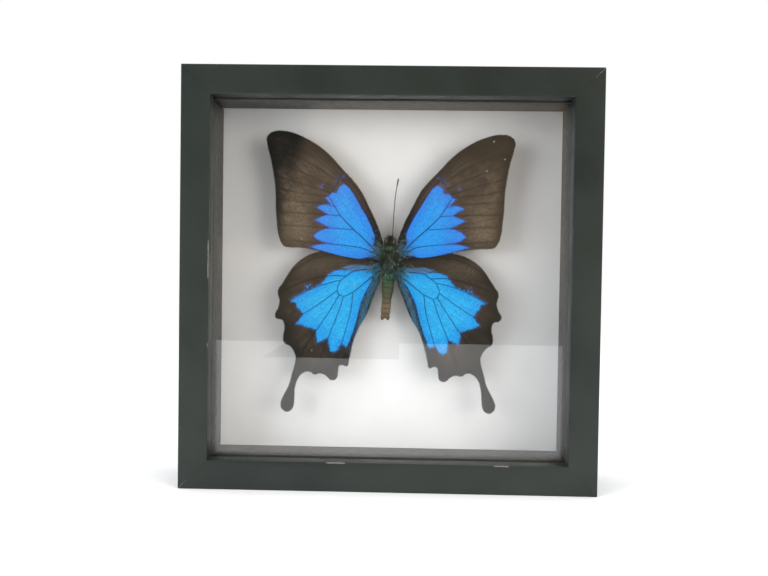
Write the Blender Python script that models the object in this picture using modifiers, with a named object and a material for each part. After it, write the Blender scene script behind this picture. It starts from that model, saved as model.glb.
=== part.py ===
"""Framed butterfly specimen: a blue swallowtail in a standing, glazed wooden box frame.

Lengths in this file are millimetres until MM turns them into Blender's metres. The frame stands on
Z = 0, its front faces -Y and it is centred on X and Y. Depths into the box are counted from the
front face, and insets are counted inwards from the frame's outer sides.
"""
import math

import bmesh
import bpy
from mathutils import Matrix, Vector

MM = 0.001

# Frame
FRAME_WIDTH = 180.0
FRAME_HEIGHT = 182.0
FRAME_DEPTH = 35.0
FACE_WIDTH = 12.6
LIP_DEPTH = 7.2
WALL_THICKNESS = 7.6
EDGE_RADIUS = 0.5
GAP = 0.3

# What the rebate holds, from the lip backwards
GLASS_THICKNESS = 2.0
BACKING_DEPTH = 28.0
CARD_THICKNESS = 1.4
BOARD_THICKNESS = 2.4
SPACER_PROUD_TOP_BOTTOM = 0.5
SPACER_SHY_SIDES = 0.4

# Retaining points and hanger
POINT_WIDTH = 12.0
POINT_THICKNESS = 0.5
POINT_IN_WOOD = 5.0
POINT_OVER_BOARD = 8.0
POINT_OFFSET = 55.0
POINT_CORNER = 1.5
SLOT_MOUTH = 1.0
HANGER_LENGTH = 45.0
HANGER_INSET = 1.9
HANGER_HEIGHT = 9.0
HANGER_THICKNESS = 0.6
HANGER_RECESS = 2.0
HANGER_CORNER = 2.5
TOOTH_COUNT = 8
TOOTH_PITCH = 3.0
TOOTH_DEPTH = 1.2
NAIL_OFFSET = 18.5
NAIL_SHANK_RADIUS = 0.6
NAIL_HOLE_RADIUS = 0.9
NAIL_HEAD_RADIUS = 1.5
NAIL_HEAD_THICKNESS = 0.5
NAIL_LENGTH = 8.0
NAIL_TIP_LENGTH = 1.2
SHEET_EDGE = 0.2
POST_EDGE = 0.3
BODY_SEGMENTS = 20
NAIL_SEGMENTS = 12

# Specimen, measured from the middle of the thorax
SPECIMEN_HEIGHT = 100.7
FOREWING_DEPTH = 18.7
HINDWING_DEPTH = 19.4
BODY_DEPTH = 20.2
WING_THICKNESS = 0.3
WING_GAP = 0.35
THORAX_RADII = (4.0, 3.9, 6.4)
THORAX_AT = (-0.15, -1.9)
HEAD_RADII = (2.8, 2.6, 2.6)
HEAD_AT = (-0.1, 7.45)
ABDOMEN_TOP = (-0.6, -8.6)
ABDOMEN_LEAN = math.radians(4.2)
ABDOMEN_SPAN = 19.2
# Share of the abdomen's span from its top, and the radius there
ABDOMEN_RADII = ((0.0, 1.6), (0.05, 2.6), (0.12, 3.05), (0.36, 2.7), (0.57, 2.25), (0.82, 2.35),
                 (0.96, 1.9), (1.0, 1.3))
# X, Z and depth of the antenna's middle line
ANTENNA_ROUTE = ((0.9, 10.15, 19.6), (1.2, 16.0, 18.9), (1.5, 22.0, 18.4), (2.1, 29.0, 18.0),
                 (3.2, 35.6, 17.8))
ANTENNA_RADIUS = 0.25
ANTENNA_CLUB_RADIUS = 0.42
POST_SIZE = (5.0, 8.0)

# A right-hand wing's outline, X outwards and Z up; the left wing is the mirror of it
FOREWING_ROOT = ((4.2, -0.8), (3.6, 2.0), (3.2, 5.0), (3.5, 8.0), (4.3, 10.0))
FOREWING_COSTA = ((6.2, 15.1), (10.0, 23.0), (13.8, 30.2), (21.5, 38.9), (28.9, 46.6), (35.2, 51.0),
                  (42.0, 54.2), (48.5, 55.6), (53.0, 54.9))
FOREWING_MARGIN = ((55.0, 52.8), (54.6, 48.4), (53.2, 43.0), (52.2, 37.6), (51.2, 30.0), (51.0, 21.0),
                   (50.6, 16.5), (49.6, 9.0), (47.4, 5.0))
FOREWING_HIND_EDGE = ((45.5, 4.4), (41.5, 4.3), (33.5, 3.3), (25.0, 1.3), (14.9, -0.4), (9.0, -0.9))
HINDWING_COSTA = ((4.4, -1.5), (9.0, 2.0), (20.0, 4.2), (30.8, 2.7), (37.2, 0.4), (42.6, -3.8),
                  (45.6, -8.0), (48.2, -12.2))
HINDWING_MARGIN = ((50.0, -15.0), (50.0, -17.0), (49.3, -19.8), (50.0, -23.3), (51.3, -25.8), (50.6, -27.8),
                   (48.2, -28.3), (46.9, -32.0), (47.6, -36.2), (47.0, -38.7), (44.5, -40.2), (42.1, -44.0),
                   (41.9, -46.6))
HINDWING_TAIL = ((43.4, -52.6), (44.8, -58.0), (47.4, -63.0), (48.5, -66.8), (47.6, -69.0), (45.3, -69.8),
                 (43.2, -68.2), (42.5, -64.4), (42.2, -59.0), (40.3, -53.9))
HINDWING_HIND_EDGE = ((37.5, -51.7), (35.0, -51.8), (33.2, -52.9), (31.0, -52.4), (28.2, -53.3),
                      (25.5, -55.4), (23.2, -54.3), (22.8, -51.5), (22.0, -48.7), (20.2, -48.6),
                      (18.8, -49.1))
HINDWING_INNER_EDGE = ((17.9, -46.2), (15.7, -37.0), (13.3, -31.0), (9.9, -25.2), (7.0, -17.6), (4.2, -9.9),
                       (3.6, -5.0))
# How the setter pinned each wing: scale, turn in degrees, shift outwards and up
WING_SETTING = {
    "forewing_left": (1.01, -0.2, (0.0, 0.2)),
    "forewing_right": (0.985, -0.5, (0.0, 1.0)),
    "hindwing_left": (1.0, -0.4, (0.5, 0.3)),
    "hindwing_right": (0.987, 1.0, (-0.9, -1.0)),
}

# Worked out from the above
GLASS_FRONT = LIP_DEPTH + GAP
GLASS_BACK = GLASS_FRONT + GLASS_THICKNESS
SPACER_FRONT = GLASS_BACK + GAP
SPACER_BACK = BACKING_DEPTH - GAP
CARD_BACK = BACKING_DEPTH + CARD_THICKNESS
BOARD_FRONT = CARD_BACK + GAP
BOARD_BACK = BOARD_FRONT + BOARD_THICKNESS
POINT_FRONT = BOARD_BACK + GAP
POINT_BACK = POINT_FRONT + POINT_THICKNESS
RECESS_FLOOR = FRAME_DEPTH - HANGER_RECESS
HANGER_FRONT = RECESS_FLOOR + GAP
HANGER_BACK = HANGER_FRONT + HANGER_THICKNESS
REBATE_INSET = WALL_THICKNESS + GAP
MITRE_RELIEF = GAP / math.sqrt(2.0)


def depth(value):
    """Turn a depth behind the front face into a world Y in millimetres."""
    return value - FRAME_DEPTH / 2


def clear_scene():
    for old in list(bpy.data.objects):
        bpy.data.objects.remove(old, do_unlink=True)


def make_collection(name):
    collection = bpy.data.collections.new(name)
    bpy.context.scene.collection.children.link(collection)
    return collection


def make_material(name, color, roughness, metallic=0.0, transmission=0.0):
    material = bpy.data.materials.new(name)
    material.use_nodes = True
    shader = material.node_tree.nodes["Principled BSDF"]
    shader.inputs["Base Color"].default_value = (*color, 1.0)
    shader.inputs["Roughness"].default_value = roughness
    shader.inputs["Metallic"].default_value = metallic
    shader.inputs["Transmission Weight"].default_value = transmission
    return material


def put_in(collection, obj, name, material=None):
    """Name an object and move it from the scene's own collection to the given one."""
    for user in list(obj.users_collection):
        user.objects.unlink(obj)
    collection.objects.link(obj)
    obj.name = name
    if material:
        obj.data.materials.clear()
        obj.data.materials.append(material)
    return obj


def add_bevel(obj, width, segments=2):
    bevel = obj.modifiers.new("edges", "BEVEL")
    bevel.width = width * MM
    bevel.segments = segments
    bevel.limit_method = "ANGLE"


def add_box(collection, name, low, high, material=None, edge=0.0):
    """A box between two corners in world millimetres, with softened edges if asked."""
    size = [(h - l) * MM for l, h in zip(low, high)]
    middle = [(h + l) / 2 * MM for l, h in zip(low, high)]
    bpy.ops.mesh.primitive_cube_add(size=1.0, location=middle)
    box = put_in(collection, bpy.context.object, name, material)
    box.data.transform(Matrix.Diagonal((*size, 1.0)))
    if edge:
        add_bevel(box, edge)
    return box


def add_bore_cutter(collection, name, radius, front, back, at):
    """A cylinder along Y, between two depths, centred on X and Z."""
    bpy.ops.mesh.primitive_cylinder_add(
        vertices=NAIL_SEGMENTS,
        radius=radius * MM,
        depth=(back - front) * MM,
        location=(at[0] * MM, depth((front + back) / 2) * MM, at[1] * MM),
        rotation=(math.pi / 2, 0.0, 0.0),
    )
    return make_cutter(put_in(collection, bpy.context.object, name))


def make_cutter(obj):
    obj.hide_render = True
    obj.display_type = "WIRE"
    return obj


def cut(obj, *cutters):
    for cutter in cutters:
        boolean = obj.modifiers.new("cut", "BOOLEAN")
        boolean.operation = "DIFFERENCE"
        boolean.solver = "EXACT"
        boolean.object = cutter


def rounded(points, radius, steps=3):
    """Swap each marked corner of an outline for an arc; a point is (x, y, is it rounded)."""
    outline = []
    for index, (x, y, is_round) in enumerate(points):
        corner = Vector((x, y))
        if not is_round:
            outline.append(corner)
            continue
        before = (Vector(points[index - 1][:2]) - corner).normalized()
        after = (Vector(points[(index + 1) % len(points)][:2]) - corner).normalized()
        centre = corner + (before + after) * radius
        for step in range(steps + 1):
            angle = math.pi / 2 * step / steps
            outline.append(centre - after * radius * math.cos(angle) - before * radius * math.sin(angle))
    return outline


def outline_curve(name, outlines, thickness, smooth=False, resolution=4):
    """A flat 2D curve in its own XY plane; later outlines are holes in the first."""
    data = bpy.data.curves.new(name, "CURVE")
    data.dimensions = "2D"
    data.fill_mode = "BOTH"
    data.extrude = thickness / 2 * MM
    for outline in outlines:
        spline = data.splines.new("BEZIER" if smooth else "POLY")
        points = spline.bezier_points if smooth else spline.points
        points.add(len(outline) - 1)
        for point, place in zip(points, outline):
            where = (place[0] * MM, place[1] * MM, 0.0)
            point.co = where if smooth else (*where, 1.0)
            if smooth:
                point.handle_left_type = "AUTO"
                point.handle_right_type = "AUTO"
        spline.use_cyclic_u = True
    data.resolution_u = resolution
    return bpy.data.objects.new(name, data)


def curve_to_mesh(collection, curve, name, material):
    """Swap a curve for one closed mesh object with the same placement."""
    bpy.context.scene.collection.objects.link(curve)
    bpy.context.view_layer.update()
    evaluated = curve.evaluated_get(bpy.context.evaluated_depsgraph_get())
    mesh = bpy.data.meshes.new_from_object(evaluated)
    solid = bpy.data.objects.new(name, mesh)
    bpy.context.scene.collection.objects.link(solid)
    solid.matrix_world = curve.matrix_world
    bpy.data.objects.remove(curve, do_unlink=True)
    shape = bmesh.new()
    shape.from_mesh(mesh)
    bmesh.ops.remove_doubles(shape, verts=shape.verts, dist=0.01 * MM)
    bmesh.ops.recalc_face_normals(shape, faces=shape.faces)
    shape.to_mesh(mesh)
    shape.free()
    return put_in(collection, solid, name, material)


def mitre(solid, half_length):
    """Cut both ends of a rail at 45 degrees, so that it is longest on its outer side."""
    shape = bmesh.new()
    shape.from_mesh(solid.data)
    for side in (-1, 1):
        end = bmesh.ops.bisect_plane(
            shape,
            geom=shape.verts[:] + shape.edges[:] + shape.faces[:],
            plane_co=(side * (half_length - MITRE_RELIEF) * MM, 0.0, 0.0),
            plane_no=(side, 0.0, 1.0),
            clear_outer=True,
        )
        rim = [item for item in end["geom_cut"] if isinstance(item, bmesh.types.BMEdge)]
        bmesh.ops.contextual_create(shape, geom=rim)
    bmesh.ops.recalc_face_normals(shape, faces=shape.faces)
    shape.to_mesh(solid.data)
    shape.free()


def add_rail(collection, name, length, place, turn, material):
    """One L-section rail: X along it, Y through the frame, Z inwards, then turned into its place."""
    front = depth(0.0)
    back = depth(FRAME_DEPTH)
    lip_back = depth(LIP_DEPTH)
    section = rounded(
        (
            (front, 0.0, True),
            (front, FACE_WIDTH, True),
            (lip_back, FACE_WIDTH, False),
            (lip_back, WALL_THICKNESS, False),
            (back, WALL_THICKNESS, False),
            (back, 0.0, True),
        ),
        EDGE_RADIUS,
    )
    curve = outline_curve(name, [section], length)
    # The curve's own X, Y and Z become the rail's depth, inward and length directions
    curve.matrix_world = Matrix(((0, 0, 1, 0), (1, 0, 0, 0), (0, 1, 0, 0), (0, 0, 0, 1)))
    rail = curve_to_mesh(collection, curve, name, material)
    rail.data.transform(rail.matrix_world)
    rail.matrix_world = Matrix.Identity(4)
    mitre(rail, length / 2)
    rail.location = (place[0] * MM, 0.0, place[1] * MM)
    rail.rotation_euler = (0.0, turn, 0.0)
    return rail


def build_frame(parts, cutters, wood):
    """Four mitred rails, and the recess for the hanger in the top one's back."""
    half_width = FRAME_WIDTH / 2
    middle = FRAME_HEIGHT / 2
    rails = {
        "top": add_rail(parts, "rail_top", FRAME_WIDTH, (0.0, FRAME_HEIGHT), math.pi, wood),
        "bottom": add_rail(parts, "rail_bottom", FRAME_WIDTH, (0.0, 0.0), 0.0, wood),
        "left": add_rail(parts, "rail_left", FRAME_HEIGHT, (-half_width, middle), math.pi / 2, wood),
        "right": add_rail(parts, "rail_right", FRAME_HEIGHT, (half_width, middle), -math.pi / 2, wood),
    }
    half = HANGER_LENGTH / 2 + GAP
    low = (-half, depth(RECESS_FLOOR), FRAME_HEIGHT - WALL_THICKNESS - 1.0)
    high = (half, depth(FRAME_DEPTH + 1.0), FRAME_HEIGHT - HANGER_INSET + GAP)
    cut(rails["top"], make_cutter(add_box(cutters, "hanger_recess", low, high)))
    return rails


def add_sheet(collection, name, front, back, material, edge=0.0):
    """A sheet that fills the rebate from wall to wall between two depths."""
    half = FRAME_WIDTH / 2 - REBATE_INSET
    low = (-half, depth(front), REBATE_INSET)
    high = (half, depth(back), FRAME_HEIGHT - REBATE_INSET)
    add_box(collection, name, low, high, material, edge)


def build_sheets(parts, glass, card, board):
    add_sheet(parts, "glass_pane", GLASS_FRONT, GLASS_BACK, glass, SHEET_EDGE)
    add_sheet(parts, "backing_card", BACKING_DEPTH, CARD_BACK, card)
    add_sheet(parts, "back_board", BOARD_FRONT, BOARD_BACK, board, SHEET_EDGE)


def build_spacers(parts, material):
    """Four strips between the glass and the card; the side strips stand between the other two."""
    front = depth(SPACER_FRONT)
    back = depth(SPACER_BACK)
    outer = FRAME_WIDTH / 2 - REBATE_INSET
    inner = FRAME_WIDTH / 2 - FACE_WIDTH + SPACER_SHY_SIDES
    level = FACE_WIDTH + SPACER_PROUD_TOP_BOTTOM
    ceiling = FRAME_HEIGHT - level
    corners = {
        "spacer_bottom": ((-outer, REBATE_INSET), (outer, level)),
        "spacer_top": ((-outer, ceiling), (outer, FRAME_HEIGHT - REBATE_INSET)),
        "spacer_left": ((-outer, level + GAP), (-inner, ceiling - GAP)),
        "spacer_right": ((inner, level + GAP), (outer, ceiling - GAP)),
    }
    for name, (low, high) in corners.items():
        add_box(parts, name, (low[0], front, low[1]), (high[0], back, high[1]), material, SHEET_EDGE)


def on_side(side, run, inset):
    """X and Z of a place on one side of the frame: how far along it, and how far in from its outside."""
    if side == "bottom":
        return (run, inset)
    if side == "top":
        return (run, FRAME_HEIGHT - inset)
    if side == "left":
        return (inset - FRAME_WIDTH / 2, FRAME_HEIGHT / 2 + run)
    return (FRAME_WIDTH / 2 - inset, FRAME_HEIGHT / 2 + run)


def build_points(parts, cutters, rails, steel):
    """Eight steel points, half driven into slots in the rebate's wall and half over the back board."""
    half = POINT_WIDTH / 2
    tip = WALL_THICKNESS - POINT_IN_WOOD
    shoulder = WALL_THICKNESS - POINT_IN_WOOD / 2
    end = WALL_THICKNESS + POINT_OVER_BOARD
    outline = (
        (-half, shoulder),
        (-half, end - POINT_CORNER),
        (-half + POINT_CORNER, end),
        (half - POINT_CORNER, end),
        (half, end - POINT_CORNER),
        (half, shoulder),
        (0.0, tip),
    )
    for side, rail in rails.items():
        for number, middle in enumerate((-POINT_OFFSET, POINT_OFFSET), start=1):
            name = "point_%s_%d" % (side, number)
            corners = [on_side(side, middle + run, inset) for run, inset in outline]
            add_plate(parts, name, [corners], POINT_FRONT, POINT_BACK, steel)
            near = on_side(side, middle - half - GAP, tip - GAP)
            far = on_side(side, middle + half + GAP, WALL_THICKNESS + SLOT_MOUTH)
            low = (min(near[0], far[0]), depth(POINT_FRONT - GAP), min(near[1], far[1]))
            high = (max(near[0], far[0]), depth(POINT_BACK + GAP), max(near[1], far[1]))
            cut(rail, make_cutter(add_box(cutters, "slot_%s_%d" % (side, number), low, high)))


def add_plate(collection, name, outlines, front, back, material, smooth=False):
    """A flat plate that faces the front, between two depths, from outlines in X and Z."""
    curve = outline_curve(name, outlines, back - front, smooth)
    curve.rotation_euler = (math.pi / 2, 0.0, 0.0)
    curve.location = (0.0, depth((front + back) / 2) * MM, 0.0)
    return curve_to_mesh(collection, curve, name, material)


def build_hanger(parts, cutters, top_rail, steel):
    """A saw-tooth plate let into the top rail, held by two nails."""
    top = FRAME_HEIGHT - HANGER_INSET
    low = top - HANGER_HEIGHT
    half = HANGER_LENGTH / 2
    teeth_start = -TOOTH_COUNT * TOOTH_PITCH / 2
    outline = [(half, top), (-half, top), (-half, low + HANGER_CORNER), (HANGER_CORNER - half, low)]
    for tooth in range(TOOTH_COUNT):
        start = teeth_start + tooth * TOOTH_PITCH
        outline.append((start, low))
        outline.append((start + TOOTH_PITCH / 2, low + TOOTH_DEPTH))
    outline.append((-teeth_start, low))
    outline += [(half - HANGER_CORNER, low), (half, low + HANGER_CORNER)]
    nail_height = FRAME_HEIGHT - (WALL_THICKNESS + HANGER_INSET) / 2
    head_front = HANGER_BACK + GAP
    holes = []
    for side, name in ((-1, "left"), (1, "right")):
        at = (side * NAIL_OFFSET, nail_height)
        holes.append(circle(at, NAIL_HOLE_RADIUS, NAIL_SEGMENTS))
        bore_end = head_front - NAIL_LENGTH - GAP
        bore = add_bore_cutter(cutters, "nail_bore_" + name, NAIL_HOLE_RADIUS, bore_end, FRAME_DEPTH, at)
        cut(top_rail, bore)
        add_nail(parts, "hanger_nail_" + name, head_front, at, steel)
    add_plate(parts, "hanger_plate", [outline] + holes, HANGER_FRONT, HANGER_BACK, steel)


def circle(centre, radius, sides):
    points = []
    for step in range(sides):
        angle = math.tau * step / sides
        points.append((centre[0] + radius * math.cos(angle), centre[1] + radius * math.sin(angle)))
    return points


def add_nail(parts, name, head_front, at, steel):
    """A flat-headed nail turned from its profile, tip towards the front of the frame."""
    profile = (
        (0.0, NAIL_HEAD_THICKNESS),
        (NAIL_HEAD_RADIUS, NAIL_HEAD_THICKNESS),
        (NAIL_HEAD_RADIUS, 0.0),
        (NAIL_SHANK_RADIUS, 0.0),
        (NAIL_SHANK_RADIUS, NAIL_TIP_LENGTH - NAIL_LENGTH),
        (0.0, -NAIL_LENGTH),
    )
    nail = turned(parts, name, profile, steel, NAIL_SEGMENTS)
    nail.rotation_euler = (-math.pi / 2, 0.0, 0.0)
    nail.location = (at[0] * MM, depth(head_front) * MM, at[1] * MM)


def turned(collection, name, profile, material, steps):
    """Spin a profile of (radius, height) pairs, top first, about Z with a Screw modifier."""
    mesh = bpy.data.meshes.new(name)
    line = bmesh.new()
    verts = [line.verts.new((radius * MM, 0.0, height * MM)) for radius, height in profile]
    for start, end in zip(verts, verts[1:]):
        line.edges.new((start, end))
    line.to_mesh(mesh)
    line.free()
    solid = put_in(collection, bpy.data.objects.new(name, mesh), name, material)
    screw = solid.modifiers.new("turn", "SCREW")
    screw.steps = steps
    screw.render_steps = steps
    screw.use_merge_vertices = True
    screw.merge_threshold = 0.01 * MM
    return solid


def add_ellipsoid(collection, name, radii, at, material, grow=0.0):
    """A rounded body segment centred at X and Z from the specimen's middle; grow swells a cutter."""
    rings = BODY_SEGMENTS // 2 + 2
    bpy.ops.mesh.primitive_uv_sphere_add(segments=BODY_SEGMENTS, ring_count=rings, radius=1.0)
    body = put_in(collection, bpy.context.object, name, material)
    body.data.transform(Matrix.Diagonal([(radius + grow) * MM for radius in radii] + [1.0]))
    body.data.shade_smooth()
    body.location = (at[0] * MM, (BODY_DEPTH - FOREWING_DEPTH) * MM, at[1] * MM)
    return body


def add_abdomen(collection, name, material, grow=0.0):
    """The tapering abdomen, leaning a little as it dried; grow swells a cutter."""
    profile = [(0.0, grow)]
    for share, radius in ABDOMEN_RADII:
        profile.append((radius + grow, grow - share * (ABDOMEN_SPAN + 2 * grow)))
    profile.append((0.0, -ABDOMEN_SPAN - grow))
    abdomen = turned(collection, name, profile, material, BODY_SEGMENTS)
    abdomen.rotation_euler = (0.0, ABDOMEN_LEAN, 0.0)
    abdomen.location = (ABDOMEN_TOP[0] * MM, (BODY_DEPTH - FOREWING_DEPTH) * MM, ABDOMEN_TOP[1] * MM)
    return abdomen


def wing_outline(points, setting, mirrored):
    """Set a wing: scale, turn and shift its outline, and flip it for the left side."""
    scale, turn, shift = setting
    cosine = math.cos(math.radians(turn)) * scale
    sine = math.sin(math.radians(turn)) * scale
    side = -1 if mirrored else 1
    outline = []
    for x, z in points:
        across = side * (x * cosine - z * sine + shift[0])
        outline.append((across, SPECIMEN_HEIGHT + x * sine + z * cosine + shift[1]))
    return outline


def build_specimen(parts, cutters, materials):
    """The dried butterfly, placed from the middle of its thorax, and the post that it is glued to."""
    holder = bpy.data.objects.new("specimen_centre", None)
    parts.objects.link(holder)
    holder.location = (0.0, depth(FOREWING_DEPTH) * MM, SPECIMEN_HEIGHT * MM)
    add_ellipsoid(parts, "thorax", THORAX_RADII, THORAX_AT, materials["thorax"]).parent = holder
    add_ellipsoid(parts, "head", HEAD_RADII, HEAD_AT, materials["head"]).parent = holder
    add_abdomen(parts, "abdomen", materials["abdomen"]).parent = holder
    add_antenna(parts, materials["antenna"]).parent = holder
    body_room = [
        add_ellipsoid(cutters, "thorax_room", THORAX_RADII, THORAX_AT, None, WING_GAP),
        add_ellipsoid(cutters, "head_room", HEAD_RADII, HEAD_AT, None, WING_GAP),
        add_abdomen(cutters, "abdomen_room", None, WING_GAP),
    ]
    for room in body_room:
        make_cutter(room).parent = holder
    build_wings(parts, body_room, materials)

    left = THORAX_AT[0] - POST_SIZE[0] / 2
    low = SPECIMEN_HEIGHT + THORAX_AT[1] - POST_SIZE[1] / 2
    front = depth(BODY_DEPTH + THORAX_RADII[1] + GAP)
    back = depth(BACKING_DEPTH - GAP)
    size = ((left, front, low), (left + POST_SIZE[0], back, low + POST_SIZE[1]))
    add_box(parts, "mount_post", *size, materials["post"], POST_EDGE)


def build_wings(parts, body_room, materials):
    """Four flat plates, trimmed clear of the body; the hindwings lie just behind the forewings."""
    forewing = FOREWING_ROOT + FOREWING_COSTA + FOREWING_MARGIN + FOREWING_HIND_EDGE
    hindwing = HINDWING_COSTA + HINDWING_MARGIN + HINDWING_TAIL + HINDWING_HIND_EDGE + HINDWING_INNER_EDGE
    for name, setting in WING_SETTING.items():
        if name.startswith("forewing"):
            points, middle, material = forewing, FOREWING_DEPTH, materials["forewing"]
        else:
            points, middle, material = hindwing, HINDWING_DEPTH, materials["hindwing"]
        outline = wing_outline(points, setting, name.endswith("left"))
        front = middle - WING_THICKNESS / 2
        wing = add_plate(parts, name, [outline], front, front + WING_THICKNESS, material, smooth=True)
        cut(wing, *body_room)


def add_antenna(collection, material):
    """The one antenna that is left: a fine shaft that swells to a club."""
    data = bpy.data.curves.new("antenna_right", "CURVE")
    data.dimensions = "3D"
    data.bevel_depth = ANTENNA_RADIUS * MM
    data.bevel_resolution = 2
    data.use_fill_caps = True
    data.resolution_u = 4
    spline = data.splines.new("BEZIER")
    spline.bezier_points.add(len(ANTENNA_ROUTE) - 1)
    for point, (x, z, behind) in zip(spline.bezier_points, ANTENNA_ROUTE):
        point.co = (x * MM, (behind - FOREWING_DEPTH) * MM, z * MM)
        point.handle_left_type = "AUTO"
        point.handle_right_type = "AUTO"
    spline.bezier_points[-1].radius = ANTENNA_CLUB_RADIUS / ANTENNA_RADIUS
    antenna = bpy.data.objects.new("antenna_right", data)
    data.materials.append(material)
    collection.objects.link(antenna)
    return antenna


def main():
    clear_scene()
    parts = make_collection("framed_butterfly_specimen")
    cutters = make_collection("cutters")
    wood = make_material("painted_wood", (0.050, 0.055, 0.050), 0.45)
    dark_strip = make_material("dark_strip", (0.045, 0.045, 0.040), 0.5)
    glass = make_material("clear_glass", (1.0, 1.0, 1.0), 0.0, transmission=1.0)
    card = make_material("pale_card", (0.72, 0.71, 0.70), 0.9)
    board = make_material("brown_board", (0.32, 0.20, 0.11), 0.8)
    steel = make_material("plated_steel", (0.60, 0.58, 0.55), 0.35, metallic=1.0)
    specimen = {
        "thorax": make_material("black_green_pile", (0.020, 0.035, 0.028), 0.7),
        "head": make_material("black_head", (0.018, 0.018, 0.016), 0.6),
        "abdomen": make_material("brown_abdomen", (0.20, 0.13, 0.07), 0.8),
        "forewing": make_material("blue_forewing", (0.02, 0.22, 0.85), 0.45),
        "hindwing": make_material("azure_hindwing", (0.02, 0.32, 0.80), 0.45),
        "antenna": make_material("dark_antenna", (0.05, 0.03, 0.02), 0.6),
        "post": make_material("cork_post", (0.45, 0.32, 0.20), 0.9),
    }
    rails = build_frame(parts, cutters, wood)
    build_sheets(parts, glass, card, board)
    build_spacers(parts, dark_strip)
    build_points(parts, cutters, rails, steel)
    build_hanger(parts, cutters, rails["top"], steel)
    build_specimen(parts, cutters, specimen)


main()
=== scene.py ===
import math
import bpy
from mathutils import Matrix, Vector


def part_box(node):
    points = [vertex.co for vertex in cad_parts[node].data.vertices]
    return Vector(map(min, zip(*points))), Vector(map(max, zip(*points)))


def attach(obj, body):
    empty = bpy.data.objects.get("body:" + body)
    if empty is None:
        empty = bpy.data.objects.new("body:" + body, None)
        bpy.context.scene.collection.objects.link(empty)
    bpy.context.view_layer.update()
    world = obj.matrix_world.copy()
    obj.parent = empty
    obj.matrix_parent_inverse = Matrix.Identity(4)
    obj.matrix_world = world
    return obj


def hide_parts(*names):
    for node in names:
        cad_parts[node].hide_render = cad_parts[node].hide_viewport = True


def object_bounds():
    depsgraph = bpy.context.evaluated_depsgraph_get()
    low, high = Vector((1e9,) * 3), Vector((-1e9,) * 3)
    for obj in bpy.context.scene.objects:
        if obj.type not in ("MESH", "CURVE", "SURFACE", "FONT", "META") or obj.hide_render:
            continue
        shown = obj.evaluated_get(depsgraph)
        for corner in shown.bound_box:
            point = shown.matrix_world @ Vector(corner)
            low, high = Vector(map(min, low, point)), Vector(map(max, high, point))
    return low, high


bl_info = {
    "name": "Framed Butterfly Specimen",
    "version": (1, 0, 0),
    "blender": (4, 5, 0),
    "location": "View3D > Sidebar > Specimen",
    "description": "Builds a blue swallowtail in a glazed box frame around its packed frame model",
    "category": "Object",
}

import bpy
import numpy as np
from mathutils import Matrix, Vector

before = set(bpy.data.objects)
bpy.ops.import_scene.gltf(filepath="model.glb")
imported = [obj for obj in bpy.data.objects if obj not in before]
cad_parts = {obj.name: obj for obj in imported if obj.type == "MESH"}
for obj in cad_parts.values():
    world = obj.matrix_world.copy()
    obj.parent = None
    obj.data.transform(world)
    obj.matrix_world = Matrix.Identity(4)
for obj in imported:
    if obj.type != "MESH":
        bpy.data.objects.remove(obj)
CAD_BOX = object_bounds()

MM = 0.001
BODY = "root"
SMOOTH_BELOW = math.radians(35.0)
WELD = 0.01 * MM

# Read from the frame
FRAME_LOW, FRAME_HIGH = CAD_BOX
HALF_WIDTH = FRAME_HIGH.x
HALF_HEIGHT = FRAME_HIGH.z / 2
FACE_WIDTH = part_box("rail_bottom")[1].z
FOREWING_Y = sum(corner.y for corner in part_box("forewing_left")) / 2
HINDWING_Y = sum(corner.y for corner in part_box("hindwing_left")) / 2
THORAX_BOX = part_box("thorax")
HEAD_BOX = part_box("head")
ABDOMEN_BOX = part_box("abdomen")
ANTENNA_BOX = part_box("antenna_right")

# The CAD leaves this share of its gap along each mitre
MITRE_STEP = 0.3 * MM / math.sqrt(2.0)

# Where the wings are measured from, and how each is set: scale, turn in degrees, shift outwards and up
WING_CENTRE_HEIGHT = 100.7 * MM
WING_SETTING = {
    "forewing_left": (1.01, -0.2, (0.0, 0.2)),
    "forewing_right": (0.985, -0.5, (0.0, 1.0)),
    "hindwing_left": (1.0, -0.4, (0.5, 0.3)),
    "hindwing_right": (0.987, 1.0, (-0.9, -1.0)),
}

# Markings and veins of a right-hand wing in millimetres, X outwards and Z up, before it is set.
# A vein is its radius at the root, its radius at the end, and the points it runs through.
FOREWING_BLUE = (
    (4.0, 1.0), (7.4, 5.6), (6.9, 9.6), (8.1, 13.2), (10.3, 17.8), (13.3, 22.4), (15.8, 27.0),
    (18.4, 30.9), (20.6, 32.5), (21.9, 32.2), (23.1, 31.0), (24.0, 28.7), (26.3, 28.7), (27.5, 27.2),
    (29.3, 26.5), (27.3, 24.2), (26.2, 23.6), (30.1, 23.5), (33.3, 22.1), (30.5, 20.6), (28.0, 18.95),
    (31.3, 17.7), (33.9, 16.6), (31.7, 15.5), (29.5, 14.3), (27.0, 13.0), (29.0, 12.7), (32.3, 11.3),
    (34.4, 9.5), (32.1, 7.6), (29.6, 6.7), (26.0, 6.2), (29.0, 6.2), (31.9, 5.7), (36.2, 4.6),
    (31.9, 3.3), (28.0, 2.2), (23.8, 1.1), (18.9, -0.5), (14.0, -0.6), (9.6, 0.2),
)
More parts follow.
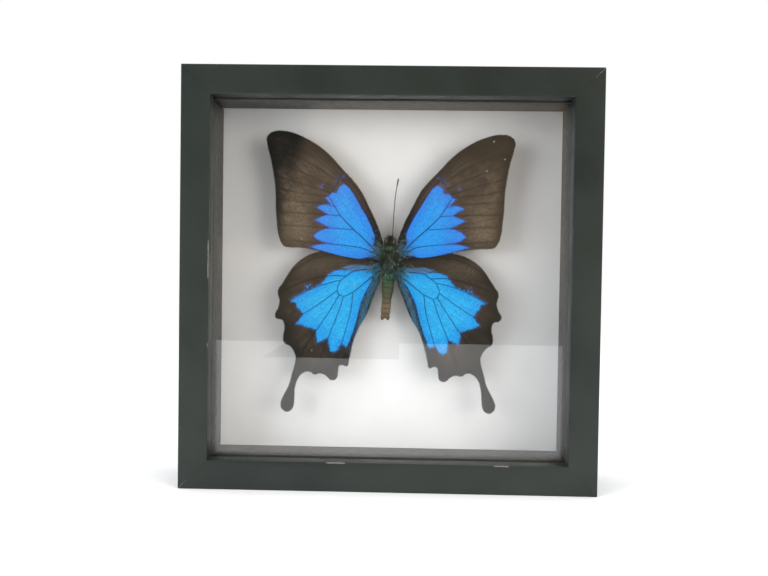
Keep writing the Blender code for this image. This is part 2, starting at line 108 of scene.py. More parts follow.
HINDWING_BLUE = (
    (4.6, -5.2), (10.0, -5.7), (16.5, -5.9), (21.9, -5.7), (24.9, -6.4), (27.2, -7.7), (28.7, -9.8),
    (30.3, -11.8), (33.0, -13.3), (36.3, -14.9), (40.0, -16.6), (44.6, -19.7), (42.2, -20.8),
    (41.4, -22.6), (40.2, -23.9), (38.8, -25.8), (40.6, -28.5), (41.8, -30.0), (38.4, -31.0),
    (35.0, -32.2), (32.7, -32.8), (32.7, -35.4), (32.1, -38.4), (30.2, -37.8), (27.3, -36.4),
    (27.0, -39.2), (26.5, -42.0), (25.0, -43.0), (23.1, -41.9), (21.2, -39.0), (19.0, -40.4),
    (17.8, -38.4), (16.3, -34.4), (14.3, -28.5), (13.1, -22.8), (11.2, -17.6), (8.2, -12.5), (5.2, -8.6),
)
# Loose blue and violet scales: X, Z and radius of each cluster
FOREWING_SPECKS = (
    (20.8, 36.0, 0.35), (21.6, 35.3, 0.3), (22.6, 34.6, 0.25), (30.9, 31.0, 0.35), (30.2, 32.3, 0.2),
    (25.0, 32.2, 0.25), (24.0, 34.1, 0.25), (23.3, 36.2, 0.2),
)
HINDWING_SPECKS = ((36.6, -13.6, 0.4), (38.1, -14.6, 0.3), (35.2, -12.7, 0.2), (37.4, -12.9, 0.15))
FOREWING_VEINS = (
    (0.30, 0.16, ((3.9, 6.5), (6.8, 14.2), (11.5, 24.5), (16.5, 32.0), (24.0, 40.5), (31.5, 47.4))),
    (0.26, 0.14, ((4.3, 3.5), (6.4, 9.5), (9.4, 16.0), (13.4, 23.6), (18.3, 31.0), (23.5, 37.5),
                  (30.0, 44.3), (37.0, 50.2))),
    (0.16, 0.10, ((18.3, 31.0), (25.0, 38.2), (34.0, 46.0), (43.0, 52.6))),
    (0.16, 0.10, ((20.3, 33.3), (22.6, 34.8), (30.0, 41.0), (39.0, 47.8), (48.5, 53.8))),
    (0.14, 0.10, ((30.0, 41.0), (40.0, 47.0), (54.2, 52.4))),
    (0.15, 0.10, ((23.4, 33.6), (31.5, 38.9), (41.0, 44.0), (54.2, 48.0))),
    (0.15, 0.10, ((25.3, 31.0), (33.0, 34.8), (43.0, 39.0), (53.2, 42.6))),
    (0.15, 0.10, ((27.0, 28.5), (34.5, 30.9), (43.0, 33.4), (52.2, 36.4))),
    (0.15, 0.14, ((20.3, 33.3), (22.6, 34.8), (23.6, 33.4), (25.3, 31.0), (27.2, 28.4), (27.5, 27.0))),
    (0.30, 0.18, ((4.9, 0.9), (11.2, 7.7), (16.3, 12.3), (22.2, 18.4), (24.8, 22.4), (27.5, 27.0))),
    (0.15, 0.10, ((27.5, 27.0), (34.0, 27.6), (42.5, 28.8), (51.3, 30.6))),
    (0.15, 0.10, ((24.8, 22.4), (31.0, 23.9), (40.0, 24.6), (51.0, 25.6))),
    (0.17, 0.10, ((22.2, 18.4), (28.0, 18.9), (37.0, 19.3), (50.8, 20.0))),
    (0.17, 0.10, ((16.3, 12.3), (26.5, 13.0), (36.0, 13.6), (50.2, 14.2))),
    (0.22, 0.10, ((4.9, 0.7), (9.2, 2.8), (12.0, 4.1), (18.9, 5.2), (29.0, 6.1), (39.0, 6.9), (48.4, 7.3))),
)
HINDWING_VEINS = (
    (0.22, 0.12, ((4.4, -2.6), (12.0, 0.4), (22.0, 1.6), (33.0, -0.4), (41.0, -4.6), (46.6, -9.4))),
    (0.24, 0.10, ((4.8, -4.8), (16.0, -6.2), (19.3, -8.3), (27.0, -8.4), (38.0, -11.0), (49.7, -15.8))),
    (0.17, 0.17, ((19.3, -8.3), (21.7, -10.4))),
    (0.17, 0.10, ((21.7, -10.4), (24.8, -11.0), (32.5, -13.3), (38.5, -16.2), (44.6, -19.9), (50.8, -26.0))),
    (0.15, 0.15, ((21.7, -10.4), (22.9, -12.6), (23.3, -14.9), (22.3, -16.9), (20.4, -17.7))),
    (0.17, 0.10, ((23.3, -14.9), (29.1, -19.3), (34.9, -23.4), (38.8, -25.9), (43.4, -31.0), (47.2, -38.0))),
    (0.17, 0.12, ((22.3, -16.9), (26.6, -24.0), (30.6, -30.2), (32.7, -33.0), (37.5, -40.5), (41.5, -49.5),
                  (43.3, -58.0), (46.2, -67.6))),
    (0.17, 0.10, ((20.4, -17.7), (23.0, -25.6), (26.0, -33.2), (27.3, -36.6), (30.5, -44.5), (33.2, -52.3))),
    (0.17, 0.10, ((16.2, -15.6), (17.0, -23.3), (18.7, -30.2), (21.1, -39.0), (23.2, -46.5), (25.4, -54.7))),
    (0.24, 0.17, ((5.0, -6.6), (10.8, -11.3), (16.2, -15.6), (20.4, -17.7))),
    (0.22, 0.12, ((5.2, -7.2), (9.3, -13.6), (12.2, -19.8), (13.8, -26.5), (15.6, -32.8), (18.0, -40.4),
                  (20.0, -48.2))),
)

# The slow curve of each dried wing, millimetres towards the glass at its far end
FOREWING_CURL = 1.4
HINDWING_CURL = 1.1
WAVE_DEPTH = 0.22
SAG_WIDTH = 0.9
SAG_DEPTH = 0.14
VEIN_STEP = 0.9
VEIN_END = 0.4

# Small damage on single wings: X, Z and radius of each spot without scales
BARE_SPOTS = {
    "forewing_left": ((39.4, 8.1, 0.3),),
    "forewing_right": ((45.6, 52.6, 0.4), (42.9, 39.4, 0.35), (50.8, 44.8, 0.35)),
    "hindwing_left": ((15.7, -12.4, 0.34), (15.2, -13.2, 0.22), (16.2, -11.7, 0.2), (34.6, -42.1, 0.3)),
}
# Where a forewing darkens, in pattern millimetres: towards its root, and towards its tip
ROOT_SHADE_CENTRE = (5.0, 3.0)
ROOT_SHADE_REACH = (24.0, 13.0)
APEX_SHADE_REACH = (46.0, 58.0)
APEX_SHADE = 0.9
# The rubbed, pale part of each wing in its pattern: X, Z, half width and half height in millimetres
RUBBED_FOREWING = (41.0, 15.0, 6.5, 12.0)
RUBBED_HINDWING = (34.0, -4.0, 12.0, 4.0)
HINDWING_INNER_HAZE = ((6.2, -11.5), (8.8, -17.0), (10.8, -22.5), (12.4, -29.0), (14.2, -35.5), (16.6, -43.0))

# Rails: how far each mitred end is closed, where they are cut across, and the scuffs on their lips
# (start and end along the rail, and reach from the edge in millimetres)
MITRE_CLOSING = 0.18 * MM
RAIL_CUTS = tuple(step * MM for step in range(-68, 69, 2))
RAIL_SCUFFS = {
    "rail_left": ((0.0 * MM, 16.0 * MM, 0.35), (-31.0 * MM, -27.0 * MM, 0.25)),
    "rail_bottom": ((-26.0 * MM, -17.0 * MM, 0.4), (46.0 * MM, 53.0 * MM, 0.4)),
    "rail_right": ((20.0 * MM, 23.0 * MM, 0.2),),
}

# The abdomen and the antenna, in millimetres: X, depth from the frame's middle and height above the table,
# then its lean in degrees, its length, and its radius along it
ABDOMEN_TOP = (-0.6, 2.7, 92.1)
ABDOMEN_LEAN = 4.2
ABDOMEN_SPAN = 18.5
ABDOMEN_RADII = (
    (0.0, 1.6), (0.05, 2.6), (0.12, 3.05), (0.36, 2.7), (0.57, 2.25), (0.82, 2.35), (0.96, 1.9), (1.0, 1.3),
)
RING_COUNT = 8
# X, height above the wing centre, and depth behind the frame's front
ANTENNA_ROUTE = ((0.9, 9.6, 19.6), (1.2, 16.0, 18.9), (1.5, 22.0, 18.4), (2.1, 29.0, 18.0), (3.2, 35.6, 17.8))
ANTENNA_STEP = 0.1
ANTENNA_JOINT = 0.45
TONGUE_RADIUS = 0.13 * MM
TONGUE_TURNS = 2.6
TONGUE_POINTS = 90

WING_SEED = 11
THORAX_SEED = 21
HEAD_SEED = 22
ABDOMEN_SEED = 23

# Stage, in metres
FLOOR_REACH = (-0.66, 0.8)
FLOOR_HALF_WIDTH = 1.2
FLOOR_CLEARANCE = 0.00002
FLOOR_BAY = (-0.142, 0.005, -0.483)
AIM_PLACE = (0.0, 0.0, 0.09)
KEY_PLACE = (-1.25, -0.95, 0.36)
KEY_SIZE = (0.9, 0.8)
KEY_COLOUR = (0.95, 0.98, 1.0)
FILL_PLACE = (1.2, -1.0, 0.34)
FILL_SIZE = (0.9, 0.8)
FILL_COLOUR = (1.0, 0.96, 0.91)
OVERHEAD_PLACE = (0.0, -0.3, 1.7)
OVERHEAD_SIZE = (1.8, 1.2)
OVERHEAD_COLOUR = (1.0, 1.0, 1.0)
CAMERA_PLACE = (0.00435, -0.3351, 0.0953)
CAMERA_AIM = (-0.0237, -0.02065, 0.01465)
CAMERA_LENS = 35.0
CAMERA_SENSOR = 36.0


# ---------------------------------------------------------------- meshes

def deselect_all():
    if bpy.context.object and bpy.context.object.mode != "OBJECT":
        bpy.ops.object.mode_set(mode="OBJECT")
    bpy.ops.object.select_all(action="DESELECT")


def focus(obj):
    """Make one object the only selected and active one."""
    deselect_all()
    obj.select_set(True)
    bpy.context.view_layer.objects.active = obj


def added(name):
    """Name the primitive that an operator has just added."""
    obj = bpy.context.object
    obj.name = name
    obj.data.name = name
    return obj


def settle(obj):
    """Apply an object's modifiers, and put its place, turn and size into its mesh."""
    focus(obj)
    for modifier in list(obj.modifiers):
        bpy.ops.object.modifier_apply(modifier=modifier.name)
    bpy.ops.object.transform_apply(location=True, rotation=True, scale=True)
    return obj


def shade(obj, angle=SMOOTH_BELOW):
    focus(obj)
    bpy.ops.object.shade_smooth_by_angle(angle=angle)
    return obj


def remove(obj):
    bpy.data.objects.remove(obj, do_unlink=True)


def join(name, pieces):
    """Join pieces into the first one, which takes the name."""
    focus(pieces[0])
    for piece in pieces[1:]:
        piece.select_set(True)
    bpy.ops.object.join()
    return added(name)


def merged_copy(node, name):
    """A welded copy of a CAD node's mesh, as a new object."""
    copy = bpy.data.objects.new(name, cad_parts[node].data.copy())
    bpy.context.scene.collection.objects.link(copy)
    copy.data.materials.clear()
    focus(copy)
    bpy.ops.mesh.customdata_custom_splitnormals_clear()
    bpy.ops.object.mode_set(mode="EDIT")
    bpy.ops.mesh.select_all(action="SELECT")
    bpy.ops.mesh.remove_doubles(threshold=WELD)
    bpy.ops.mesh.normals_make_consistent(inside=False)
    bpy.ops.object.mode_set(mode="OBJECT")
    return copy


def places_of(obj):
    """Every vertex's place, as an array of rows."""
    flat = np.empty(len(obj.data.vertices) * 3)
    obj.data.vertices.foreach_get("co", flat)
    return flat.reshape(-1, 3)


def move_to(obj, places):
    obj.data.vertices.foreach_set("co", places.ravel())
    obj.data.update()


def select_vertices(obj, chosen):
    """Select the vertices that a mask names, and go into edit mode with them."""
    focus(obj)
    bpy.ops.object.mode_set(mode="EDIT")
    bpy.ops.mesh.select_mode(type="VERT")
    bpy.ops.mesh.select_all(action="DESELECT")
    bpy.ops.object.mode_set(mode="OBJECT")
    obj.data.vertices.foreach_set("select", chosen)
    bpy.ops.object.mode_set(mode="EDIT")


def mark(obj, name, values):
    """Store one number for each vertex, for a material to read."""
    attribute = obj.data.attributes.get(name) or obj.data.attributes.new(name, "FLOAT", "POINT")
    attribute.data.foreach_set("value", np.asarray(values, dtype=np.float32))


def lay_map(obj, across, along):
    """Give an object a UV map in metres from two numbers for each vertex."""
    layer = obj.data.uv_layers.new(name="surface")
    corner = np.empty(len(obj.data.loops), dtype=np.int64)
    obj.data.loops.foreach_get("vertex_index", corner)
    pairs = np.column_stack((across[corner], along[corner])).astype(np.float32)
    layer.data.foreach_set("uv", pairs.ravel())


def finish_piece(obj, slot, *nodes):
    """A piece rides on the one body and stands for its CAD nodes, which it hides; its slot is not used."""
    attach(obj, BODY)
    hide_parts(*nodes)


# ---------------------------------------------------------------- curves and fields

def smooth_line(points, spacing):
    """Points about a spacing apart on the smooth curve through the given ones."""
    points = np.asarray(points, dtype=float)
    padded = np.vstack((2 * points[0] - points[1], points, 2 * points[-1] - points[-2]))
    line = []
    for before, start, end, after in zip(padded, padded[1:], padded[2:], padded[3:]):
        steps = max(1, round(float(np.linalg.norm(end - start)) / spacing))
        for t in np.arange(steps) / steps:
            bend = 2 * before - 5 * start + 4 * end - after
            twist = 3 * start - before - 3 * end + after
            line.append(start + 0.5 * ((end - before) * t + bend * t ** 2 + twist * t ** 3))
    line.append(points[-1])
    return np.array(line)


def tubes(name, courses, thickness, sides):
    """Closed tubes as one mesh: each course is its places and its radii, as factors of the thickness."""
    data = bpy.data.curves.new(name, "CURVE")
    data.dimensions = "3D"
    data.bevel_depth = thickness
    data.bevel_resolution = sides
    data.use_fill_caps = True
    for places, radii in courses:
        spline = data.splines.new("POLY")
        spline.points.add(len(places) - 1)
        spline.points.foreach_set("co", np.column_stack((places, np.ones(len(places)))).ravel())
        spline.points.foreach_set("radius", radii)
    obj = bpy.data.objects.new(name, data)
    bpy.context.scene.collection.objects.link(obj)
    focus(obj)
    bpy.ops.object.convert(target="MESH")
    return added(name)


def distance_to(points, lines):
    """How far each flat point is from the nearest of some lines."""
    nearest = np.full(len(points), np.inf)
    for line in lines:
        for start, end in zip(line, line[1:]):
            span = end - start
            share = np.clip(((points - start) @ span) / (span @ span), 0.0, 1.0)
            gap = points - start - share[:, None] * span
            nearest = np.minimum(nearest, np.hypot(gap[:, 0], gap[:, 1]))
    return nearest


def inside(points, outline):
    """True for each flat point that lies within a closed outline."""
    within = np.zeros(len(points), dtype=bool)
    for start, end in zip(outline, np.roll(outline, -1, axis=0)):
        if start[1] == end[1]:
            continue
        straddles = (start[1] > points[:, 1]) != (end[1] > points[:, 1])
        reach = start[0] + (points[:, 1] - start[1]) * (end[0] - start[0]) / (end[1] - start[1])
        within ^= straddles & (points[:, 0] < reach)
    return within


def ease(values, low, high):
    """Rise smoothly from 0 at low to 1 at high."""
    share = np.clip((values - low) / (high - low), 0.0, 1.0)
    return share * share * (3.0 - 2.0 * share)


# ---------------------------------------------------------------- hairs and scales

def hair_template():
    """One three-sided hair, 1 long and 1 thick, cut across twice so that it can bend."""
    bpy.ops.mesh.primitive_cone_add(vertices=3, radius1=0.5, radius2=0.0, depth=1.0, location=(0, 0, 0.5))
    hair = settle(added("hair_template"))
    bpy.ops.object.mode_set(mode="EDIT")
    bpy.ops.mesh.select_all(action="SELECT")
    bpy.ops.mesh.bisect(plane_co=(0, 0, 0.4), plane_no=(0, 0, 1))
    bpy.ops.mesh.select_all(action="SELECT")
    bpy.ops.mesh.bisect(plane_co=(0, 0, 0.72), plane_no=(0, 0, 1))
    bpy.ops.object.mode_set(mode="OBJECT")
    return taken(hair)


def scale_template():
    """One flat scale, 1 long and 1 wide, thin, and widest near its tip."""
    bpy.ops.mesh.primitive_cone_add(vertices=6, radius1=0.22, radius2=0.5, depth=1.0, location=(0, 0, 0.5))
    leaf = added("scale_template")
    leaf.scale = (1.0, 0.16, 1.0)
    return taken(settle(leaf))


def taken(obj):
    """Take a template's vertices and faces, and remove its object."""
    faces = [tuple(face.vertices) for face in obj.data.polygons]
    template = (places_of(obj), faces)
    remove(obj)
    return template


def scatter(name, template, roots, ways, outs, lengths, widths, tints, bend=0.0):
    """Copies of a template as one mesh: each stands at a root, points along its way and leans its tip out."""
    corners, faces = template
    ways = ways / np.linalg.norm(ways, axis=1)[:, None]
    sides = np.cross(ways, outs)
    sides /= np.maximum(np.linalg.norm(sides, axis=1), 1e-9)[:, None]
    fronts = np.cross(sides, ways)
    rise = corners[:, 2]
    curve = bend * rise ** 2
    places = (
        roots[:, None]
        + sides[:, None] * (corners[None, :, :1] * widths[:, None, None])
        + fronts[:, None] * (corners[None, :, 1:2] * widths[:, None, None])
        + fronts[:, None] * (curve[None, :, None] * lengths[:, None, None])
        + ways[:, None] * (rise[None, :, None] * lengths[:, None, None])
    )
    count = len(roots)
    mesh = bpy.data.meshes.new(name)
    size = len(corners)
    starts = np.arange(count) * size
    sizes = np.tile([len(face) for face in faces], count)
    flat = np.array([corner for face in faces for corner in face])
    loops = (starts[:, None] + flat[None, :]).ravel()
    mesh.vertices.add(count * size)
    mesh.vertices.foreach_set("co", places.reshape(-1).astype(np.float32))
    mesh.loops.add(len(loops))
    mesh.loops.foreach_set("vertex_index", loops.astype(np.int32))
    mesh.polygons.add(len(sizes))
    mesh.polygons.foreach_set("loop_start", np.concatenate(([0], np.cumsum(sizes)[:-1])).astype(np.int32))
    mesh.update(calc_edges=True)
    mesh.validate()
    obj = bpy.data.objects.new(name, mesh)
    bpy.context.scene.collection.objects.link(obj)
    mark(obj, "tint", np.repeat(tints, size))
    mark(obj, "rise", np.tile(rise, count))
    return shade(obj, math.pi)


def sample_surface(obj, count, rng, weigh=None):
    """Random places on a mesh and the outward direction at each; weigh says how thick they stand where."""
    mesh = obj.data
    mesh.calc_loop_triangles()
    corners = np.empty(len(mesh.loop_triangles) * 3, dtype=np.int64)
    mesh.loop_triangles.foreach_get("vertices", corners)
    places = places_of(obj)[corners.reshape(-1, 3)]
    across = np.cross(places[:, 1] - places[:, 0], places[:, 2] - places[:, 0])
    areas = np.linalg.norm(across, axis=1)
    outs = across / np.maximum(areas, 1e-15)[:, None]
    shares = areas if weigh is None else areas * weigh(places.mean(axis=1), outs)
    chosen = rng.choice(len(areas), size=count, p=shares / shares.sum())
    first = rng.random(count)
    second = rng.random(count)
    over = first + second > 1.0
    first[over] = 1.0 - first[over]
    second[over] = 1.0 - second[over]
    picked = places[chosen]
    roots = (
        picked[:, 0]
        + first[:, None] * (picked[:, 1] - picked[:, 0])
        + second[:, None] * (picked[:, 2] - picked[:, 0])
    )
    return roots, outs[chosen]


# ---------------------------------------------------------------- materials

class Wiring:
    """Adds nodes to one tree. An input that is given a socket is linked to it, and any other is set."""

    def __init__(self, tree):
        self.tree = tree

    def feed(self, socket, value):
        if isinstance(value, bpy.types.NodeSocket):
            self.tree.links.new(value, socket)
        elif socket.type == "RGBA":
            socket.default_value = (*value[:3], 1.0)
        else:
            socket.default_value = value

    def add(self, kind, inputs=None, **settings):
        node = self.tree.nodes.new(kind)
        for name, value in settings.items():
            setattr(node, name, value)
        for key, value in (inputs or {}).items():
            self.feed(node.inputs[key], value)
        return node

    def math(self, operation, first, second=0.0, third=0.0, clamp=False):
        inputs = {0: first, 1: second, 2: third}
        return self.add("ShaderNodeMath", inputs, operation=operation, use_clamp=clamp).outputs[0]

    def times(self, first, second):
        return self.math("MULTIPLY", first, second)

    def mix(self, share, first, second, blend="MIX"):
        inputs = {0: share, 6: first, 7: second}
        node = self.add("ShaderNodeMix", inputs, data_type="RGBA", blend_type=blend, clamp_factor=True)
        return node.outputs[2]

    def step(self, value, low, high, from_value=0.0, to_value=1.0):
        """Ease from one value to another as the input goes from low to high."""
        inputs = {0: value, 1: low, 2: high, 3: from_value, 4: to_value}
        return self.add("ShaderNodeMapRange", inputs, interpolation_type="SMOOTHSTEP").outputs[0]

    def noise(self, vector, scale, detail=2.0, roughness=0.5, distortion=0.0):
        inputs = {
            "Vector": vector, "Scale": scale, "Detail": detail,
            "Roughness": roughness, "Distortion": distortion,
        }
        return self.add("ShaderNodeTexNoise", inputs).outputs[0]

    def cells(self, vector, scale, feature="F1", randomness=1.0):
        inputs = {"Vector": vector, "Scale": scale, "Randomness": randomness}
        return self.add("ShaderNodeTexVoronoi", inputs, feature=feature)

    def ramp(self, value, *stops):
        """A colour ramp through (place, colour) stops."""
        node = self.add("ShaderNodeValToRGB", {0: value})
        marks = node.color_ramp.elements
        for place, _colour in stops[2:]:
            marks.new(place)
        for mark_, (place, colour) in zip(marks, stops):
            mark_.position = place
            mark_.color = (*colour[:3], 1.0)
        return node.outputs[0]

    def stretched(self, vector, scale):
        return self.add("ShaderNodeMapping", {"Vector": vector, "Scale": scale}).outputs[0]

    def attribute(self, name):
        return self.add("ShaderNodeAttribute", attribute_name=name).outputs["Fac"]

    def object_place(self):
        return self.add("ShaderNodeTexCoord").outputs["Object"]

    def surface_place(self):
        return self.add("ShaderNodeUVMap", uv_map="surface").outputs[0]

    def bump(self, height, strength, distance, normal=None):
        inputs = {"Height": height, "Strength": strength, "Distance": distance}
        if normal is not None:
            inputs["Normal"] = normal
        return self.add("ShaderNodeBump", inputs).outputs[0]

    def group(self, tree, **inputs):
        """Place a node group; an input's name is given with _ for each space."""
        node = self.add("ShaderNodeGroup", node_tree=tree)
        for name, value in inputs.items():
            self.feed(node.inputs[name.replace("_", " ")], value)
        return node


def shared_group(name, inputs, outputs, wire):
    """A node group, built the first time it is asked for. wire links its inside."""
    if name in bpy.data.node_groups:
        return bpy.data.node_groups[name]
    tree = bpy.data.node_groups.new(name, "ShaderNodeTree")
    for label, kind, default in inputs:
        socket = tree.interface.new_socket(label, in_out="INPUT", socket_type=kind)
        if default is not None:
            socket.default_value = default
    for label, kind in outputs:
        tree.interface.new_socket(label, in_out="OUTPUT", socket_type=kind)
    wiring = Wiring(tree)
    start = tree.nodes.new("NodeGroupInput")
    end = tree.nodes.new("NodeGroupOutput")
    wire(wiring, start.outputs, end.inputs)
    return tree


TONE_AND_HEIGHT = (("Tone", "NodeSocketFloat"), ("Height", "NodeSocketFloat"))


def dust_group():
    """Loose specks of dust and lint, as a mask."""

    def wire(on, given, out):
        cells = on.cells(given["Vector"], given["Scale"])
        size = on.times(on.noise(given["Vector"], on.times(given["Scale"], 0.31)), 0.34)
        speck = on.step(on.math("SUBTRACT", size, cells.outputs["Distance"]), 0.0, 0.05)
        rare = on.step(cells.outputs["Color"], on.math("SUBTRACT", 1.0, given["Amount"]), 1.0)
        on.feed(out["Mask"], on.math("MULTIPLY", speck, rare, clamp=True))

    inputs = (
        ("Vector", "NodeSocketVector", None), ("Scale", "NodeSocketFloat", 900.0),
        ("Amount", "NodeSocketFloat", 0.2),
    )
    return shared_group("dust_specks", inputs, (("Mask", "NodeSocketFloat"),), wire)


def grain_group():
    """Long grain with fine pores, as a tone and a height."""

    def wire(on, given, out):
        broad = on.noise(given["Vector"], given["Scale"], 4.0, 0.55, 0.4)
        fine = on.noise(given["Vector"], on.times(given["Scale"], 7.0), 2.0, 0.6)
        tone = on.math("ADD", on.times(broad, 0.6), on.times(fine, 0.4))
        on.feed(out["Tone"], on.step(tone, 0.3, 0.7))
        on.feed(out["Height"], tone)

    inputs = (("Vector", "NodeSocketVector", None), ("Scale", "NodeSocketFloat", 400.0))
    return shared_group("fine_grain", inputs, TONE_AND_HEIGHT, wire)


def ragged_group():
    """The ragged edge of a patch: 1 where a depth is above nothing, broken up by fine noise."""

    def wire(on, given, out):
        fine = on.noise(given["Vector"], given["Scale"], 3.0, 0.65)
        shift = on.times(on.math("SUBTRACT", fine, 0.5), given["Fray"])
        depth = on.math("ADD", given["Depth"], shift)
        low = on.times(given["Softness"], -1.0)
        on.feed(out["Mask"], on.step(depth, low, given["Softness"]))

    inputs = (
        ("Vector", "NodeSocketVector", None), ("Depth", "NodeSocketFloat", 0.0),
        ("Fray", "NodeSocketFloat", 0.5), ("Softness", "NodeSocketFloat", 0.1),
        ("Scale", "NodeSocketFloat", 3000.0),
    )
    return shared_group("ragged_edge", inputs, (("Mask", "NodeSocketFloat"),), wire)


def ragged_mask(on, place, depth, fray, softness, scale):
    """The share of a ragged-edged patch, from the depth inside its edge in millimetres."""
    inputs = {"Vector": place, "Depth": depth, "Fray": fray, "Softness": softness, "Scale": scale}
    return on.group(ragged_group(), **inputs).outputs["Mask"]


def scale_rows_group():
    """Overlapping insect scales: a tone for each scale and the height of its free end."""

    def wire(on, given, out):
        place = on.add("ShaderNodeVectorMath", {0: given["Vector"], 1: given["Size"]}, operation="DIVIDE")
        cells = on.cells(place.outputs[0], 1.0, randomness=0.7)
        on.feed(out["Tone"], on.add("ShaderNodeSeparateColor", {0: cells.outputs["Color"]}).outputs[0])
        on.feed(out["Height"], on.math("SUBTRACT", 1.0, cells.outputs["Distance"], clamp=True))

    inputs = (
        ("Vector", "NodeSocketVector", None), ("Size", "NodeSocketVector", (0.00012, 0.00022, 0.00022)),
    )
    return shared_group("scale_rows", inputs, TONE_AND_HEIGHT, wire)


def new_material(name):
    """A material with a Principled shader, and the wiring of its tree."""
    material = bpy.data.materials.new(name)
    material.use_nodes = True
    on = Wiring(material.node_tree)
    shader = next(node for node in material.node_tree.nodes if node.type == "BSDF_PRINCIPLED")
    return material, on, shader.inputs


def set_constants(sockets, **values):
    """Set a shader's own sockets; a socket's name is given with _ for each space."""
    for name, value in values.items():
        sockets[name.replace("_", " ")].default_value = value


def dress(obj, *materials):
    """Give an object these materials in place of its own."""
    obj.data.materials.clear()
    for material in materials:
        obj.data.materials.append(material)


def redress_node(node, material):
    """Give a shown CAD node a better material through its material slots."""
    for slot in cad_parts[node].material_slots:
        slot.material = material


def paint_material(looks):
    """Satin near-black paint over a light wood grain, with specks of dust and scuffs on the lip's edge."""
    material, on, shader = new_material("painted_wood")
    place = on.object_place()
    along = on.surface_place()
    grain = on.group(grain_group(), Vector=on.stretched(along, (0.12, 1.0, 1.0)), Scale=700.0)
    patches = on.noise(place, 22.0, 3.0)
    dust = on.group(dust_group(), Vector=place, Scale=620.0, Amount=looks.dust_amount)
    lint = on.group(dust_group(), Vector=on.stretched(place, (1.0, 1.0, 0.35)), Scale=240.0, Amount=0.06)
    specks = on.math("MAXIMUM", dust.outputs["Mask"], lint.outputs["Mask"])
    worn = on.group(
        ragged_group(), Vector=place, Depth=on.attribute("scuff"), Fray=1.3, Softness=0.18, Scale=2400.0,
    )
    tone = on.mix(on.step(patches, 0.35, 0.65), looks.paint, looks.paint_worn)
    tone = on.mix(on.times(grain.outputs["Tone"], 0.35), tone, looks.paint_worn)
    tone = on.mix(on.times(specks, 0.55), tone, looks.dust_colour)
    tone = on.mix(on.times(worn.outputs["Mask"], 0.6), tone, looks.scuff_colour)
    on.feed(shader["Base Color"], tone)
    glossy = looks.paint_roughness - 0.06
    dull = looks.paint_roughness + 0.07
    rough = on.step(on.noise(place, 60.0, 4.0), 0.3, 0.7, glossy, dull)
    on.feed(shader["Roughness"], on.math("ADD", rough, on.times(specks, 0.3), clamp=True))
    soft = on.bump(grain.outputs["Height"], 0.25, 0.03 * MM)
    peel = on.bump(on.noise(place, 1500.0, 2.0), 0.2, 0.02 * MM, soft)
    on.feed(shader["Normal"], on.bump(on.math("ADD", specks, on.times(worn.outputs["Mask"], -1.0)),
                                      0.5, 0.03 * MM, peel))
    set_constants(shader, Specular_IOR_Level=0.38)
    return material


def glass_material(looks):
    """Clear picture glass with a trace of dust."""
    material, on, shader = new_material("clear_glass")
    place = on.object_place()
    dust = on.group(dust_group(), Vector=place, Scale=210.0, Amount=0.05)
    on.feed(shader["Base Color"], on.mix(dust.outputs["Mask"], (1.0, 1.0, 1.0), (0.93, 0.92, 0.9)))
    on.feed(shader["Normal"], on.bump(on.noise(place, 14.0, 1.0), looks.glass_ripple, 0.02 * MM))
    set_constants(shader, Transmission_Weight=1.0, IOR=1.52, Roughness=0.0)
    return material


def lining_material(looks):
    """The satin near-black strip inside the box."""
    material, on, shader = new_material("dark_strip")
    place = on.object_place()
    grain = on.group(grain_group(), Vector=place, Scale=320.0)
    dust = on.group(dust_group(), Vector=place, Scale=700.0, Amount=0.3)
    tone = on.mix(grain.outputs["Tone"], looks.lining, [0.72 * part for part in looks.lining])
    dusty = on.times(dust.outputs["Mask"], 0.5)
    on.feed(shader["Base Color"], on.mix(dusty, tone, looks.dust_colour))
    on.feed(shader["Roughness"], on.step(grain.outputs["Height"], 0.3, 0.7, 0.38, 0.52))
    on.feed(shader["Normal"], on.bump(grain.outputs["Height"], 0.3, 0.04 * MM))
    return material


def card_material(looks):
    """Matt mount card: a soft tooth, short fibres and a few specks."""
    material, on, shader = new_material("pale_card")
    place = on.object_place()
    mottle = on.step(on.noise(place, 45.0, 4.0), 0.3, 0.7)
    fibres = on.noise(on.stretched(place, (1.0, 1.0, 0.22)), 1900.0, 3.0, 0.6, 1.2)
    dust = on.group(dust_group(), Vector=place, Scale=330.0, Amount=0.05)
    tone = on.mix(mottle, looks.card, [0.965 * part for part in looks.card])
    tone = on.mix(on.step(fibres, 0.6, 0.75, 0.0, 0.12), tone, (0.5, 0.48, 0.44))
    tone = on.mix(on.times(dust.outputs["Mask"], 0.25), tone, (0.3, 0.29, 0.27))
    on.feed(shader["Base Color"], tone)
    on.feed(shader["Roughness"], on.step(fibres, 0.3, 0.7, 0.82, 0.92))
    on.feed(shader["Normal"], on.bump(fibres, 0.25, 0.03 * MM))
    set_constants(shader, Specular_IOR_Level=0.25)
    return material


def board_material(looks):
    """Brown hardboard with pressed fibres."""
    material, on, shader = new_material("brown_board")
    place = on.object_place()
    cloud = on.step(on.noise(place, 60.0, 5.0, 0.6), 0.3, 0.7)
    fibres = on.noise(on.stretched(place, (1.0, 1.0, 0.4)), 900.0, 4.0, 0.65, 2.0)
    dark = [0.62 * part for part in looks.board]
    tone = on.mix(on.times(cloud, 0.5), looks.board, dark)
    tone = on.mix(on.step(fibres, 0.5, 0.66, 0.0, 0.7), tone, dark)
    dust = on.group(dust_group(), Vector=place, Scale=420.0, Amount=0.12)
    dusty = on.times(dust.outputs["Mask"], 0.4)
    on.feed(shader["Base Color"], on.mix(dusty, tone, looks.dust_colour))
    on.feed(shader["Roughness"], on.step(fibres, 0.3, 0.7, 0.55, 0.75))
    on.feed(shader["Normal"], on.bump(fibres, 0.4, 0.05 * MM))
    return material


